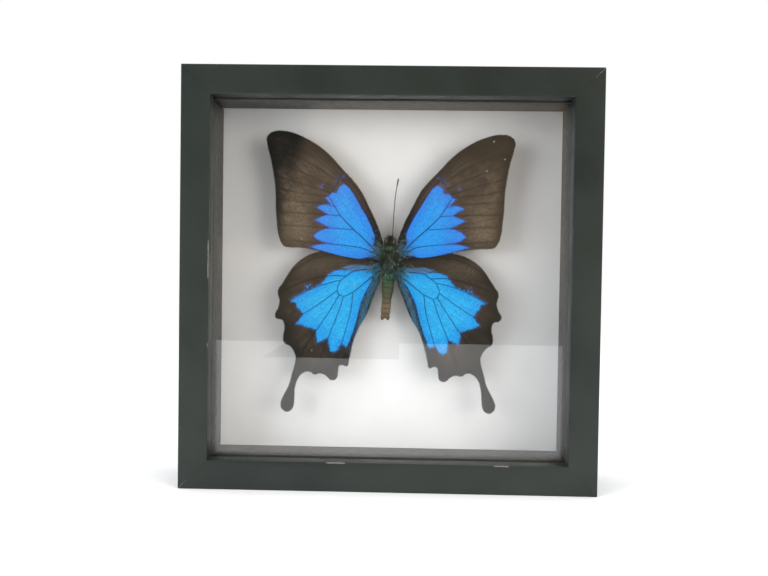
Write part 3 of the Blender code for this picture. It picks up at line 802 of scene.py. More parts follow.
def steel_material(looks):
    """Zinc-plated sheet and wire, drawn lengthwise, with a dull bloom."""
    material, on, shader = new_material("plated_steel")
    place = on.object_place()
    drawn = on.noise(on.stretched(place, (0.15, 1.0, 1.0)), 2600.0, 3.0)
    bloom = on.step(on.noise(place, 160.0, 3.0, 0.55), 0.35, 0.7)
    dull = [0.78 * part for part in looks.steel]
    on.feed(shader["Base Color"], on.mix(bloom, looks.steel, dull))
    on.feed(shader["Roughness"], on.step(bloom, 0.0, 1.0, 0.28, 0.55))
    on.feed(shader["Normal"], on.bump(drawn, 0.25, 0.01 * MM))
    set_constants(shader, Metallic=1.0)
    return material


def cork_material(looks):
    """Pressed cork granules with dark seams."""
    material, on, shader = new_material("cork_post")
    place = on.object_place()
    granules = on.cells(place, 1300.0)
    edges = on.cells(place, 1300.0, feature="DISTANCE_TO_EDGE").outputs["Distance"]
    tone = on.add("ShaderNodeSeparateColor", {0: granules.outputs["Color"]}).outputs[0]
    dark = [0.5 * part for part in looks.cork]
    colour = on.mix(on.times(tone, 0.6), looks.cork, dark)
    colour = on.mix(on.step(edges, 0.0, 0.09, 0.8, 0.0), colour, (0.06, 0.035, 0.02))
    on.feed(shader["Base Color"], colour)
    on.feed(shader["Roughness"], on.step(tone, 0.0, 1.0, 0.7, 0.9))
    on.feed(shader["Normal"], on.bump(on.step(edges, 0.0, 0.2), 0.7, 0.12 * MM))
    return material


def wing_material(name, looks, blue, blue_bright, violet_share, fray, streaks):
    """Dark scaled ground with pale streaks between veins, and an azure patch with violet, ragged edges."""
    material, on, shader = new_material(name)
    place = on.object_place()
    surface = on.surface_place()
    depth = on.attribute("blue_depth")
    vein_gap = on.attribute("vein_distance")
    margin = on.attribute("margin_distance")
    rows = on.group(scale_rows_group(), Vector=surface)
    long_noise = on.noise(on.stretched(surface, (1.0, 0.07, 1.0)), 1250.0, 4.0, 0.7)
    cloud = on.noise(place, 95.0, 4.0, 0.6)
    grit = on.noise(place, 1050.0, 4.0, 0.75)

    between = on.step(vein_gap, 0.15, 0.8, 0.55, 1.0)
    outward = on.times(on.step(margin, 26.0, 8.0, 0.3, 1.0), on.step(margin, 0.4, 5.0, 0.1, 1.0))
    streak = on.times(on.times(between, outward), on.step(long_noise, 0.36, 0.62, 0.45, 1.0))
    streak = on.times(streak, on.step(cloud, 0.36, 0.66, 0.3, 1.0))
    streak = on.times(streak, on.step(grit, 0.32, 0.66, 0.45, 1.15))
    rubbed = on.times(on.attribute("rubbed"), on.step(grit, 0.38, 0.62, 0.35, 1.0))
    worn = on.times(rubbed, on.times(between, 0.8))
    streak = on.math("ADD", on.times(streak, 0.85), worn, clamp=True)
    ground = on.mix(on.times(streak, streaks), looks.ground, looks.ground_pale)
    ruddy = on.times(on.step(depth, -4.5, -0.4), on.step(cloud, 0.3, 0.7, 0.2, 0.8))
    ground = on.mix(on.times(ruddy, 0.5), ground, looks.ground_ruddy)

    ground = on.mix(on.times(on.attribute("root_shade"), 0.85), ground, looks.vein)

    flecks = on.noise(place, 5200.0, 1.0)
    core = on.math("ADD", depth, on.times(on.math("SUBTRACT", cloud, 0.5), 3.0))
    azure = on.mix(on.step(core, 0.6, 5.5), blue, blue_bright)
    azure = on.mix(on.step(depth, -0.1, 0.55, violet_share, 0.0), azure, looks.violet)
    shimmer = on.math("ADD", on.times(rows.outputs["Tone"], 0.4), on.times(grit, 0.85))
    azure = on.mix(on.step(shimmer, 0.35, 0.85, 0.6, 0.0), azure, looks.blue_shade)
    mottle = on.noise(place, 950.0, 4.0, 0.7)
    azure = on.mix(on.step(mottle, 0.38, 0.6, 0.22, 0.0), azure, looks.blue_shade)
    azure = on.mix(on.step(long_noise, 0.36, 0.6, 0.16, 0.0), azure, looks.blue_shade)
    near_vein = on.step(vein_gap, 0.1, 0.6, 0.4, 0.0)
    azure = on.mix(near_vein, azure, looks.blue_shade)

    patch = ragged_mask(on, place, depth, fray, 0.12 * fray, 1200.0)
    strewn = on.times(on.step(flecks, 0.6, 0.66), on.step(depth, -1.6, 0.0))
    blue_mask = on.math("MAXIMUM", patch, strewn)
    colour = on.mix(blue_mask, ground, azure)
    haze = ragged_mask(on, place, on.attribute("haze"), 1.4, 0.5, 1900.0)
    colour = on.mix(on.times(haze, on.step(long_noise, 0.38, 0.62, 0.25, 0.75)), colour, looks.haze)
    colour = on.mix(on.times(on.step(rows.outputs["Tone"], 0.75, 1.0), 0.05), colour, looks.ground_pale)
    colour = on.mix(on.attribute("vein"), colour, on.mix(blue_mask, looks.vein, looks.vein_blue))
    bare = ragged_mask(on, place, on.attribute("bare"), 0.5, 0.1, 5200.0)
    colour = on.mix(on.times(bare, 0.75), colour, looks.bare)
    dust = on.group(dust_group(), Vector=place, Scale=1300.0, Amount=0.10)
    colour = on.mix(on.times(dust.outputs["Mask"], 0.22), colour, looks.bare)
    colour = on.mix(on.attribute("underside"), colour, on.mix(streak, looks.under, looks.ground_pale))
    on.feed(shader["Base Color"], colour)
    on.feed(shader["Roughness"], on.step(blue_mask, 0.0, 1.0, 0.75, 0.55))
    fine = on.bump(rows.outputs["Height"], 0.35, 0.03 * MM)
    on.feed(shader["Normal"], on.bump(long_noise, 0.3, 0.08 * MM, fine))
    set_constants(shader, Specular_IOR_Level=0.12)
    return material


def pile_material(name, looks, *tones):
    """Hair and loose scales, coloured by each one's tint, with painted shade that darkens each towards its
    root.
    """
    material, on, shader = new_material(name)
    tint = on.attribute("tint")
    rise = on.attribute("rise")
    colour = on.ramp(tint, *[(index / (len(tones) - 1), tone) for index, tone in enumerate(tones)])
    mottle = on.noise(on.object_place(), 2600.0, 2.0)
    # Painted shade: each hair and scale is darkened towards the cuticle colour near its root, broken up by
    # mottle.
    shade_share = on.times(on.step(rise, 0.0, 0.75, 0.55, 0.0), on.step(mottle, 0.3, 0.7, 0.6, 1.0))
    on.feed(shader["Base Color"], on.mix(shade_share, colour, looks.cuticle))
    on.feed(shader["Roughness"], on.step(mottle, 0.3, 0.7, 0.42, 0.6))
    set_constants(shader, Specular_IOR_Level=0.2)
    return material


def cuticle_material(name, dark, light, gloss):
    """Dark insect cuticle with pits and close-lying scales."""
    material, on, shader = new_material(name)
    place = on.object_place()
    rows = on.group(scale_rows_group(), Vector=place, Size=(0.00016, 0.00016, 0.00024))
    cloud = on.noise(place, 520.0, 3.0)
    patch = on.times(on.step(cloud, 0.42, 0.62), on.step(rows.outputs["Tone"], 0.2, 0.9))
    on.feed(shader["Base Color"], on.mix(patch, dark, light))
    on.feed(shader["Roughness"], on.step(rows.outputs["Tone"], 0.0, 1.0, gloss - 0.08, gloss + 0.12))
    on.feed(shader["Normal"], on.bump(rows.outputs["Height"], 0.5, 0.04 * MM))
    return material


def abdomen_material(looks):
    """Green to tan along the abdomen, in rows of close-lying scales, with darker joints and darker flanks on
    the upper rings.
    """
    material, on, shader = new_material("abdomen_scales")
    place = on.object_place()
    along = on.attribute("along")
    rows = on.group(scale_rows_group(), Vector=place, Size=(0.00018, 0.00018, 0.0003))
    cloud = on.noise(place, 700.0, 3.0)
    shift = on.times(on.math("SUBTRACT", cloud, 0.5), 0.35)
    colour = on.ramp(
        on.math("ADD", along, shift), (0.0, looks.green), (0.18, looks.olive_green), (0.5, looks.olive),
        (0.78, looks.tan), (1.0, looks.tan_dark),
    )
    colour = on.mix(on.step(rows.outputs["Tone"], 0.2, 1.0, 0.45, 0.0), colour, looks.cuticle)
    # The joint mark darkens both the joints and the flanks of the upper rings.
    colour = on.mix(on.times(on.attribute("joint"), 0.85), colour, looks.cuticle)
    on.feed(shader["Base Color"], colour)
    on.feed(shader["Roughness"], on.step(rows.outputs["Tone"], 0.0, 1.0, 0.45, 0.65))
    on.feed(shader["Normal"], on.bump(rows.outputs["Height"], 0.6, 0.05 * MM))
    set_constants(shader, Specular_IOR_Level=0.35)
    return material


def eye_material(looks):
    """A dark compound eye: fine facets under a gloss."""
    material, on, shader = new_material("compound_eye")
    place = on.object_place()
    facets = on.cells(place, 9000.0)
    tone = on.add("ShaderNodeSeparateColor", {0: facets.outputs["Color"]}).outputs[0]
    on.feed(shader["Base Color"], on.mix(tone, looks.eye, looks.cuticle))
    on.feed(shader["Roughness"], on.step(tone, 0.0, 1.0, 0.16, 0.28))
    on.feed(shader["Normal"], on.bump(facets.outputs["Distance"], 0.3, 0.02 * MM))
    set_constants(shader, Coat_Weight=0.6, Coat_Roughness=0.08)
    return material


def antenna_material(looks):
    """Dark brown cuticle with a paler ring at each joint."""
    material, on, shader = new_material("antenna")
    ring = on.attribute("ring")
    mottle = on.noise(on.object_place(), 3000.0, 2.0)
    colour = on.mix(on.times(ring, 0.5), looks.antenna, [2.4 * part for part in looks.antenna])
    on.feed(shader["Base Color"], on.mix(on.step(mottle, 0.3, 0.7, 0.0, 0.4), colour, looks.cuticle))
    on.feed(shader["Roughness"], on.step(mottle, 0.3, 0.7, 0.35, 0.5))
    on.feed(shader["Normal"], on.bump(mottle, 0.3, 0.02 * MM))
    return material


# ---------------------------------------------------------------- rails

def rail_places(rail, lengthwise, low_side):
    """A rail's places, with how far each lies along it from its middle and in from the frame's outside."""
    places = places_of(rail)
    along = places[:, 0] if lengthwise == "x" else places[:, 2] - HALF_HEIGHT
    rise = places[:, 2] if lengthwise == "x" else places[:, 0]
    inset = rise - rise.min() if low_side else rise.max() - rise
    return places, along, inset


def close_mitres(rail, lengthwise, low_side):
    """Bring a rail's mitred ends out along it until only a hairline is left."""
    places, along, inset = rail_places(rail, lengthwise, low_side)
    half = HALF_WIDTH if lengthwise == "x" else HALF_HEIGHT
    at_mitre = np.abs(np.abs(along) + inset - half + MITRE_STEP) < 0.05 * MM
    shift = np.sign(along) * at_mitre * MITRE_CLOSING
    places[:, 0 if lengthwise == "x" else 2] += shift
    move_to(rail, places)


def soften_long_edges(rail, lengthwise, width):
    """Round the long arrises of a rail, as sanding leaves them."""
    focus(rail)
    bpy.ops.object.mode_set(mode="EDIT")
    bpy.ops.mesh.select_mode(type="EDGE")
    bpy.ops.mesh.select_all(action="DESELECT")
    bpy.ops.mesh.edges_select_sharp(sharpness=math.radians(60.0))
    bpy.ops.object.mode_set(mode="OBJECT")
    axis = 0 if lengthwise == "x" else 2
    for edge in rail.data.edges:
        start, end = (rail.data.vertices[index].co for index in edge.vertices)
        span = end - start
        if edge.select and abs(span[axis]) < 0.95 * span.length:
            edge.select = False
    bpy.ops.object.mode_set(mode="EDIT")
    bpy.ops.mesh.bevel(offset=width, segments=2, affect="EDGES", clamp_overlap=True)
    bpy.ops.object.mode_set(mode="OBJECT")


def map_rail(rail, lengthwise, low_side):
    """Lay the map along the rail and across its face, then down the lip, and return the distances it uses."""
    places, along, inset = rail_places(rail, lengthwise, low_side)
    depth = places[:, 1] - FRAME_LOW.y
    lay_map(rail, along, inset + depth)
    return along, inset, depth


def build_rail(node, looks, material):
    """One rail: the frame's own profile with closed mitres, softened arrises and scuffed lip edges."""
    lengthwise = "x" if node in ("rail_top", "rail_bottom") else "z"
    low_side = node in ("rail_bottom", "rail_left")
    rail = merged_copy(node, node + "_painted")
    close_mitres(rail, lengthwise, low_side)
    soften_long_edges(rail, lengthwise, looks.arris)
    focus(rail)
    bpy.ops.object.mode_set(mode="EDIT")
    bpy.ops.mesh.select_all(action="SELECT")
    axis = (1.0, 0.0, 0.0) if lengthwise == "x" else (0.0, 0.0, 1.0)
    for station in RAIL_CUTS:
        centre = (station, 0.0, 0.0) if lengthwise == "x" else (0.0, 0.0, HALF_HEIGHT + station)
        bpy.ops.mesh.bisect(plane_co=centre, plane_no=axis)
        bpy.ops.mesh.select_all(action="SELECT")
    bpy.ops.object.mode_set(mode="OBJECT")
    along, inset, depth = map_rail(rail, lengthwise, low_side)
    scuff = np.full(len(along), -5.0)
    for start, end, reach in RAIL_SCUFFS.get(node, ()):
        within = (along > start - 0.5 * MM) & (along < end + 0.5 * MM)
        edge = np.hypot(inset - FACE_WIDTH, depth) / MM
        scuff = np.where(within, np.maximum(scuff, reach - edge), scuff)
    mark(rail, "scuff", scuff)
    dress(rail, material)
    shade(rail)
    finish_piece(rail, "painted_wood", node)
    return rail


# ---------------------------------------------------------------- wings

def to_pattern(node, places):
    """Pattern millimetres across and up for places on a set wing."""
    scale, turn, (out, up) = WING_SETTING[node]
    side = 1.0 if node.endswith("right") else -1.0
    cos = math.cos(math.radians(turn)) / scale
    sin = math.sin(math.radians(turn)) / scale
    across = places[:, 0] / MM * side - out
    rise = (places[:, 2] - WING_CENTRE_HEIGHT) / MM - up
    return np.column_stack((across * cos + rise * sin, rise * cos - across * sin))


def from_pattern(node, points, depth):
    """Places on a set wing for pattern points, at the given depths."""
    scale, turn, (out, up) = WING_SETTING[node]
    side = 1.0 if node.endswith("right") else -1.0
    cos = math.cos(math.radians(turn)) * scale
    sin = math.sin(math.radians(turn)) * scale
    across = side * (points[:, 0] * cos - points[:, 1] * sin + out)
    rise = points[:, 0] * sin + points[:, 1] * cos + up
    return np.column_stack((across * MM, depth, rise * MM + WING_CENTRE_HEIGHT))


def wing_relief(node, pattern):
    """How far the dried wing stands towards the back, from its curl and slow waves."""
    side = 1.0 if node.endswith("right") else -1.0
    fore = node.startswith("forewing")
    rise = pattern[:, 1] if fore else -pattern[:, 1]
    reach = np.hypot(pattern[:, 0], pattern[:, 1])
    curl = FOREWING_CURL * np.clip(rise / 55.0, 0.0, 1.2) ** 2 if fore else (
        HINDWING_CURL * np.clip(rise / 68.0, 0.0, 1.0) ** 2
    )
    wave = np.sin(pattern[:, 0] * 0.33 + side) * np.sin(pattern[:, 1] * 0.23 + 0.8 * side)
    return (WAVE_DEPTH * wave * ease(reach, 18.0, 48.0) * ease(rise, 7.0, 22.0) - curl) * MM


def build_membrane(node, looks):
    """A thin sheet cut to the wing's outline."""
    low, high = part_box(node)
    middle = (low + high) / 2
    half = (high - low) / 2
    deselect_all()
    bpy.ops.mesh.primitive_grid_add(
        x_subdivisions=round(2 * half.x / looks.cell),
        y_subdivisions=round(2 * half.z / looks.cell),
        size=2.0,
        location=middle,
        rotation=(math.radians(90.0), 0.0, 0.0),
    )
    sheet = added(node + "_scaled")
    sheet.scale = (half.x + looks.cell, half.z + looks.cell, 1.0)
    settle(sheet)
    solid = sheet.modifiers.new("membrane", "SOLIDIFY")
    solid.thickness = looks.membrane
    solid.offset = 0.0
    settle(sheet)
    cutter = merged_copy(node, node + "_outline")
    trim = sheet.modifiers.new("outline", "BOOLEAN")
    trim.operation = "INTERSECT"
    trim.solver = "MANIFOLD"
    trim.object = cutter
    settle(sheet)
    remove(cutter)
    select_vertices(sheet, np.ones(len(sheet.data.vertices), dtype=bool))
    bpy.ops.mesh.remove_doubles(threshold=WELD)
    bpy.ops.object.mode_set(mode="OBJECT")
    return sheet


def build_veins(node, veins, looks):
    """Raised veins along their courses, as one mesh of closed tubes."""
    depth = FOREWING_Y if node.startswith("forewing") else HINDWING_Y
    courses = []
    for thick, thin, course in veins:
        line = smooth_line(course, VEIN_STEP)
        places = from_pattern(node, line, depth + wing_relief(node, line))
        radii = np.linspace(thick, thin, len(line)) * looks.vein_size
        radii[-1] *= VEIN_END
        courses.append((places, radii))
    return tubes(node + "_veins", courses, MM, 1)


def mark_wing(obj, node, veins, blue, specks, depth, is_vein):
    """Store what the wing's material reads: depths inside patches, distances from veins, and its other marks;
    the margin distance is stored by the caller.
    """
    places = places_of(obj)
    pattern = to_pattern(node, places)
    outline = np.asarray(blue, dtype=float)
    edge = distance_to(pattern, [np.vstack((outline, outline[:1]))])
    patch = np.where(inside(pattern, outline), edge, -edge)
    for across, rise, radius in specks:
        patch = np.maximum(patch, radius - np.hypot(pattern[:, 0] - across, pattern[:, 1] - rise))
    front = places[:, 1] < depth
    vein_gap = distance_to(pattern, [smooth_line(course, VEIN_STEP) for _thick, _thin, course in veins])
    bare = np.full(len(places), -5.0)
    for across, rise, radius in BARE_SPOTS.get(node, ()):
        bare = np.maximum(bare, radius - np.hypot(pattern[:, 0] - across, pattern[:, 1] - rise))
    haze = np.full(len(places), -5.0)
    if node.startswith("hindwing"):
        costal = 1.3 - np.abs(pattern[:, 1] + 4.7) + np.minimum(0.0, 17.0 - pattern[:, 0]) * 0.3
        inner = 0.9 - distance_to(pattern, [np.array(HINDWING_INNER_HAZE)])
        haze = np.maximum(costal, inner)
    mark(obj, "blue_depth", np.where(front | is_vein, patch, -5.0))
    mark(obj, "vein_distance", vein_gap)
    from_root = np.hypot(pattern[:, 0] - ROOT_SHADE_CENTRE[0], pattern[:, 1] - ROOT_SHADE_CENTRE[1])
    root_shade = ease(-from_root, -ROOT_SHADE_REACH[0], -ROOT_SHADE_REACH[1])
    apex_shade = APEX_SHADE * ease(pattern[:, 1] + 0.25 * pattern[:, 0], *APEX_SHADE_REACH)
    shade_share = np.maximum(root_shade, apex_shade)
    mark(obj, "root_shade", shade_share if node.startswith("forewing") else 0.0 * shade_share)
    across, rise, wide, tall = RUBBED_FOREWING if node.startswith("forewing") else RUBBED_HINDWING
    from_middle = ((pattern[:, 0] - across) / wide) ** 2 + ((pattern[:, 1] - rise) / tall) ** 2
    mark(obj, "rubbed", np.exp(-from_middle))
    mark(obj, "bare", np.where(front, bare, -5.0))
    mark(obj, "haze", np.where(front & ~is_vein, haze, -5.0))
    mark(obj, "vein", np.full(len(places), 1.0 if is_vein else 0.0))
    mark(obj, "underside", np.zeros(len(places)) if is_vein else np.where(front, 0.0, 1.0))
    return pattern, vein_gap


def rim_line(node):
    """The wing's outline in pattern millimetres, as short lines between neighbours on its front rim."""
    outline = merged_copy(node, "rim")
    places = places_of(outline)
    front = places[:, 1] < places[:, 1].mean()
    pattern = to_pattern(node, places)
    faces_at = {}
    for face in outline.data.polygons:
        flat = abs(face.normal.y) > 0.5
        for key in face.edge_keys:
            faces_at.setdefault(key, set()).add(flat)
    lines = [
        pattern[list(key)] for key, kinds in faces_at.items()
        if len(kinds) == 2 and front[key[0]] and front[key[1]]
    ]
    remove(outline)
    return lines


def bend_wing(sheet, node, vein_gap, pattern):
    """Press the membrane between the veins and give the wing its curl."""
    places = places_of(sheet)
    sag = 1.0 - np.exp(-((vein_gap / SAG_WIDTH) ** 2))
    way = -1.0 if node.startswith("forewing") else 1.0
    places[:, 1] += wing_relief(node, pattern) + way * SAG_DEPTH * sag * MM
    move_to(sheet, places)


def wing_hairs(node, sheet, template, rng, looks):
    """The hair over the wing's root, and down the hindwing's inner margin."""
    side = 1.0 if node.endswith("right") else -1.0
    fore = node.startswith("forewing")

    def near_root(places, outs):
        pattern = to_pattern(node, places)
        reach = np.hypot(pattern[:, 0] - 3.0, pattern[:, 1] - (2.0 if fore else -6.0))
        return np.exp(-((reach / 4.6) ** 2)) * (outs[:, 1] < -0.5)

    def inner_margin(places, outs):
        pattern = to_pattern(node, places)
        gap = distance_to(pattern, [np.array(HINDWING_INNER_HAZE)])
        return np.exp(-((gap / 1.3) ** 2)) * (outs[:, 1] < -0.5)

    pieces = []
    for number, levels, shares, width in (
        (looks.root_hairs, (0.0, 0.2, 0.45), (0.45, 0.3, 0.25), (0.06, 0.11)),
        (looks.root_streaks, (0.3, 0.5, 0.75, 1.0), (0.24, 0.34, 0.27, 0.15), (0.12, 0.22)),
    ):
        roots, outs = sample_surface(sheet, number, rng, near_root)
        climb = rng.normal(0.5 if fore else -0.8, 0.3, number)
        away = np.column_stack((np.full(number, side), np.full(number, -0.22), climb))
        away += rng.normal(0.0, 0.2, away.shape)
        lengths = looks.root_hair_length * rng.uniform(0.45, 1.0, number)
        widths = rng.uniform(*width, number) * MM
        tints = pick_tints(rng, number, levels, shares)
        pieces.append(scatter(node + "_hair", template, roots, away, outs, lengths, widths, tints, 0.12))
    if not fore:
        roots, outs = sample_surface(sheet, looks.margin_hairs, rng, inner_margin)
        away = np.column_stack((np.full(len(roots), -0.15 * side), np.full(len(roots), -0.22),
                                np.full(len(roots), -1.0))) + rng.normal(0.0, 0.25, (len(roots), 3))
        tints = pick_tints(rng, len(roots), (0.2, 0.55, 0.72, 0.88), (0.16, 0.3, 0.42, 0.12))
        lengths = rng.uniform(0.9, 2.0, len(roots)) * MM
        widths = rng.uniform(0.07, 0.13, len(roots)) * MM
        fringe = scatter(node + "_margin_hair", template, roots, away, outs, lengths, widths, tints, 0.08)
        pieces.append(fringe)
    return pieces


def wing_fringe(node, sheet, template, rng, looks):
    """Short scales standing out all along the wing's outer rim."""

    def on_rim(places, outs):
        pattern = to_pattern(node, places)
        return (np.abs(outs[:, 1]) < 0.5) * (np.hypot(pattern[:, 0], pattern[:, 1]) > 11.0)

    roots, outs = sample_surface(sheet, looks.fringe_scales, rng, on_rim)
    ways = outs + rng.normal(0.0, 0.28, outs.shape)
    flat = np.tile((0.0, 1.0, 0.0), (len(roots), 1))
    lengths = rng.uniform(0.25, 0.5, len(roots)) * MM
    widths = rng.uniform(0.10, 0.17, len(roots)) * MM
    tints = np.clip(rng.normal(0.06, 0.04, len(roots)), 0.0, 1.0)
    roots = roots - outs * 0.1 * MM
    return scatter(node + "_fringe", template, roots, ways, flat, lengths, widths, tints)


def build_wing(node, looks, templates, materials, rng):
    """One wing: a pressed membrane, raised veins, root hair and a fringe of scales."""
    fore = node.startswith("forewing")
    veins = FOREWING_VEINS if fore else HINDWING_VEINS
    blue = FOREWING_BLUE if fore else HINDWING_BLUE
    specks = FOREWING_SPECKS if fore else HINDWING_SPECKS
    depth = FOREWING_Y if fore else HINDWING_Y
    hair, scale = templates
    rim = rim_line(node)
    sheet = build_membrane(node, looks)
    ribs = build_veins(node, veins, looks)
    for obj, is_vein in ((sheet, False), (ribs, True)):
        pattern, vein_gap = mark_wing(obj, node, veins, blue, specks, depth, is_vein)
        mark(obj, "margin_distance", distance_to(pattern, rim))
        reach = np.hypot(pattern[:, 0], pattern[:, 1])
        lay_map(obj, np.arctan2(pattern[:, 1], pattern[:, 0]) * 26.0 * MM, reach * MM)
        if not is_vein:
            bend_wing(obj, node, vein_gap, pattern)
        dress(obj, materials[0])
        shade(obj, math.radians(50.0))
    parts = [sheet, ribs]
    for extra in (*wing_hairs(node, sheet, hair, rng, looks), wing_fringe(node, sheet, scale, rng, looks)):
        dress(extra, materials[1])
        parts.append(extra)
    wing = join(node + "_scaled", parts)
    finish_piece(wing, "forewing_scales" if fore else "hindwing_scales", node)
    return wing


# ---------------------------------------------------------------- body

def ball(name, centre, radii, segments=48, rings=32, turn=(0.0, 0.0, 0.0)):
    """A sphere primitive stretched to its three radii and turned."""
    deselect_all()
    bpy.ops.mesh.primitive_uv_sphere_add(segments=segments, ring_count=rings, radius=1.0)
    obj = added(name)
    obj.scale = radii
    obj.rotation_euler = turn
    obj.location = centre
    return settle(obj)


def pile(name, template, base, count, rng, comb, length, width, tints, bend=0.2, lie=0.75, weigh=None):
    """Hair or scales over a surface, combed one way: lie is how far they lie down."""
    roots, outs = sample_surface(base, count, rng, weigh)
    ways = outs * (1.0 - lie) + np.asarray(comb) * lie + rng.normal(0.0, 0.16, outs.shape)
    under = np.einsum("ij,ij->i", ways, outs)
    ways += outs * np.maximum(0.12 - under, 0.0)[:, None]
    low, high = length
    lengths = rng.uniform(low, high, count)
    thin, thick = width
    return scatter(name, template, roots, ways, outs, lengths, rng.uniform(thin, thick, count), tints, -bend)


def pick_tints(rng, count, levels, shares):
    return np.clip(rng.choice(levels, count, p=shares) + rng.normal(0.0, 0.04, count), 0.0, 1.0)


def build_thorax(looks, templates, materials, rng):
    """The thorax: grooved cuticle, two wing covers at its sides, hair combed back and loose green scales."""
    low, high = THORAX_BOX
    centre = (low + high) / 2
    radii = (high - low) / 2
    core = ball("thorax_core", centre, [0.93 * part for part in radii], 64, 44)
    places = places_of(core)
    local = (places - np.array(centre)) / np.array(radii)
    groove = np.exp(-((local[:, 0] / 0.12) ** 2)) * ease(-local[:, 1], 0.2, 0.8)
    collar = np.exp(-(((local[:, 2] - 0.62) / 0.07) ** 2))
    past_edge = (local[:, 2] + 0.55 + 0.35 * np.abs(local[:, 0])) / 0.06
    scutellum = np.exp(-(past_edge ** 2)) * ease(-local[:, 1], 0.0, 0.5)
    places[:, 1] += (0.30 * groove + 0.28 * scutellum) * MM
    places[:, 0] *= 1.0 - 0.05 * collar
    move_to(core, places)
    lobes = [
        ball(
            "collar", (centre.x, centre.y - 0.2 * MM, high.z + 0.1 * MM),
            (3.3 * MM, 2.9 * MM, 2.0 * MM), 40, 24,
        ),
        ball(
            "hind_part", (centre.x - 0.1 * MM, centre.y, low.z + 0.6 * MM),
            (3.1 * MM, 3.0 * MM, 2.6 * MM), 40, 24,
        ),
    ]
    for side in (-1.0, 1.0):
        lobes.append(ball(
            "tegula", (centre.x + side * 2.9 * MM, centre.y - 1.7 * MM, centre.z + 3.2 * MM),
            (1.3 * MM, 0.9 * MM, 1.9 * MM), 24, 16, (0.0, side * math.radians(-18.0), 0.0),
        ))
    core = join("thorax_furred", [core, *lobes])
    dress(core, materials[0])
    shade(core, math.radians(60.0))
    hair, scale = templates

    def upper(places, outs):
        return 0.25 + ease(-outs[:, 1], -0.2, 0.4)

    def fur(number, comb, size, width, levels, shares, lie, weigh):
        tints = pick_tints(rng, number, levels, shares)
        return pile("thorax_hair", hair, core, number, rng, comb, size, width, tints, 0.2, lie, weigh)

    def sides(places, outs):
        return ease(np.abs(places[:, 0] - centre.x) / MM, 1.6, 3.4) * ease(-outs[:, 1], -0.5, 0.2)

    def hind_patch(places, outs):
        drop = (places[:, 2] - low.z) / MM
        return np.exp(-(((drop - 0.6) / 1.5) ** 2)) * ease(-outs[:, 1], 0.0, 0.6)

    longest = looks.thorax_hair_length
    fine = (0.05 * MM, 0.10 * MM)
    thick = (0.16 * MM, 0.32 * MM)
    coats = [
        fur(looks.thorax_hairs, (0.0, -0.15, -1.0), (0.7 * MM, longest), fine, (0.0, 0.1, 0.24),
            (0.7, 0.2, 0.1), 0.62, upper),
        fur(looks.thorax_tufts, (0.0, -0.15, -1.0), (1.1 * MM, longest), thick, (0.0, 0.3, 0.62, 0.97),
            (0.52, 0.05, 0.07, 0.36), 0.72, upper),
    ]
    for side in (-1.0, 1.0):
        def this_side(places, outs, side=side):
            return sides(places, outs) * (side * (places[:, 0] - centre.x) > 0.0)

        coats.append(fur(looks.thorax_hairs // 14, (side, -0.15, -0.35), (1.0 * MM, 1.15 * longest), fine,
                         (0.0, 0.1, 0.24), (0.72, 0.2, 0.08), 0.5, this_side))
        coats.append(fur(looks.thorax_tufts // 6, (side, -0.15, -0.25), (1.0 * MM, 1.2 * longest), thick,
                         (0.24, 0.5, 0.68, 0.95), (0.4, 0.3, 0.16, 0.14), 0.55, this_side))
    green = pick_tints(rng, looks.thorax_scales, (0.25, 0.36, 0.95), (0.62, 0.33, 0.05))
    coats.append(pile("thorax_scale", scale, core, looks.thorax_scales, rng, (0.0, -0.1, -1.0),
                      (0.5 * MM, 1.0 * MM), (0.16 * MM, 0.3 * MM), green, 0.1, 0.75, hind_patch))
    for extra in coats:
        dress(extra, materials[1])
    body = join("thorax_furred", [core, *coats])
    finish_piece(body, "thorax_pile", "thorax")
    return body


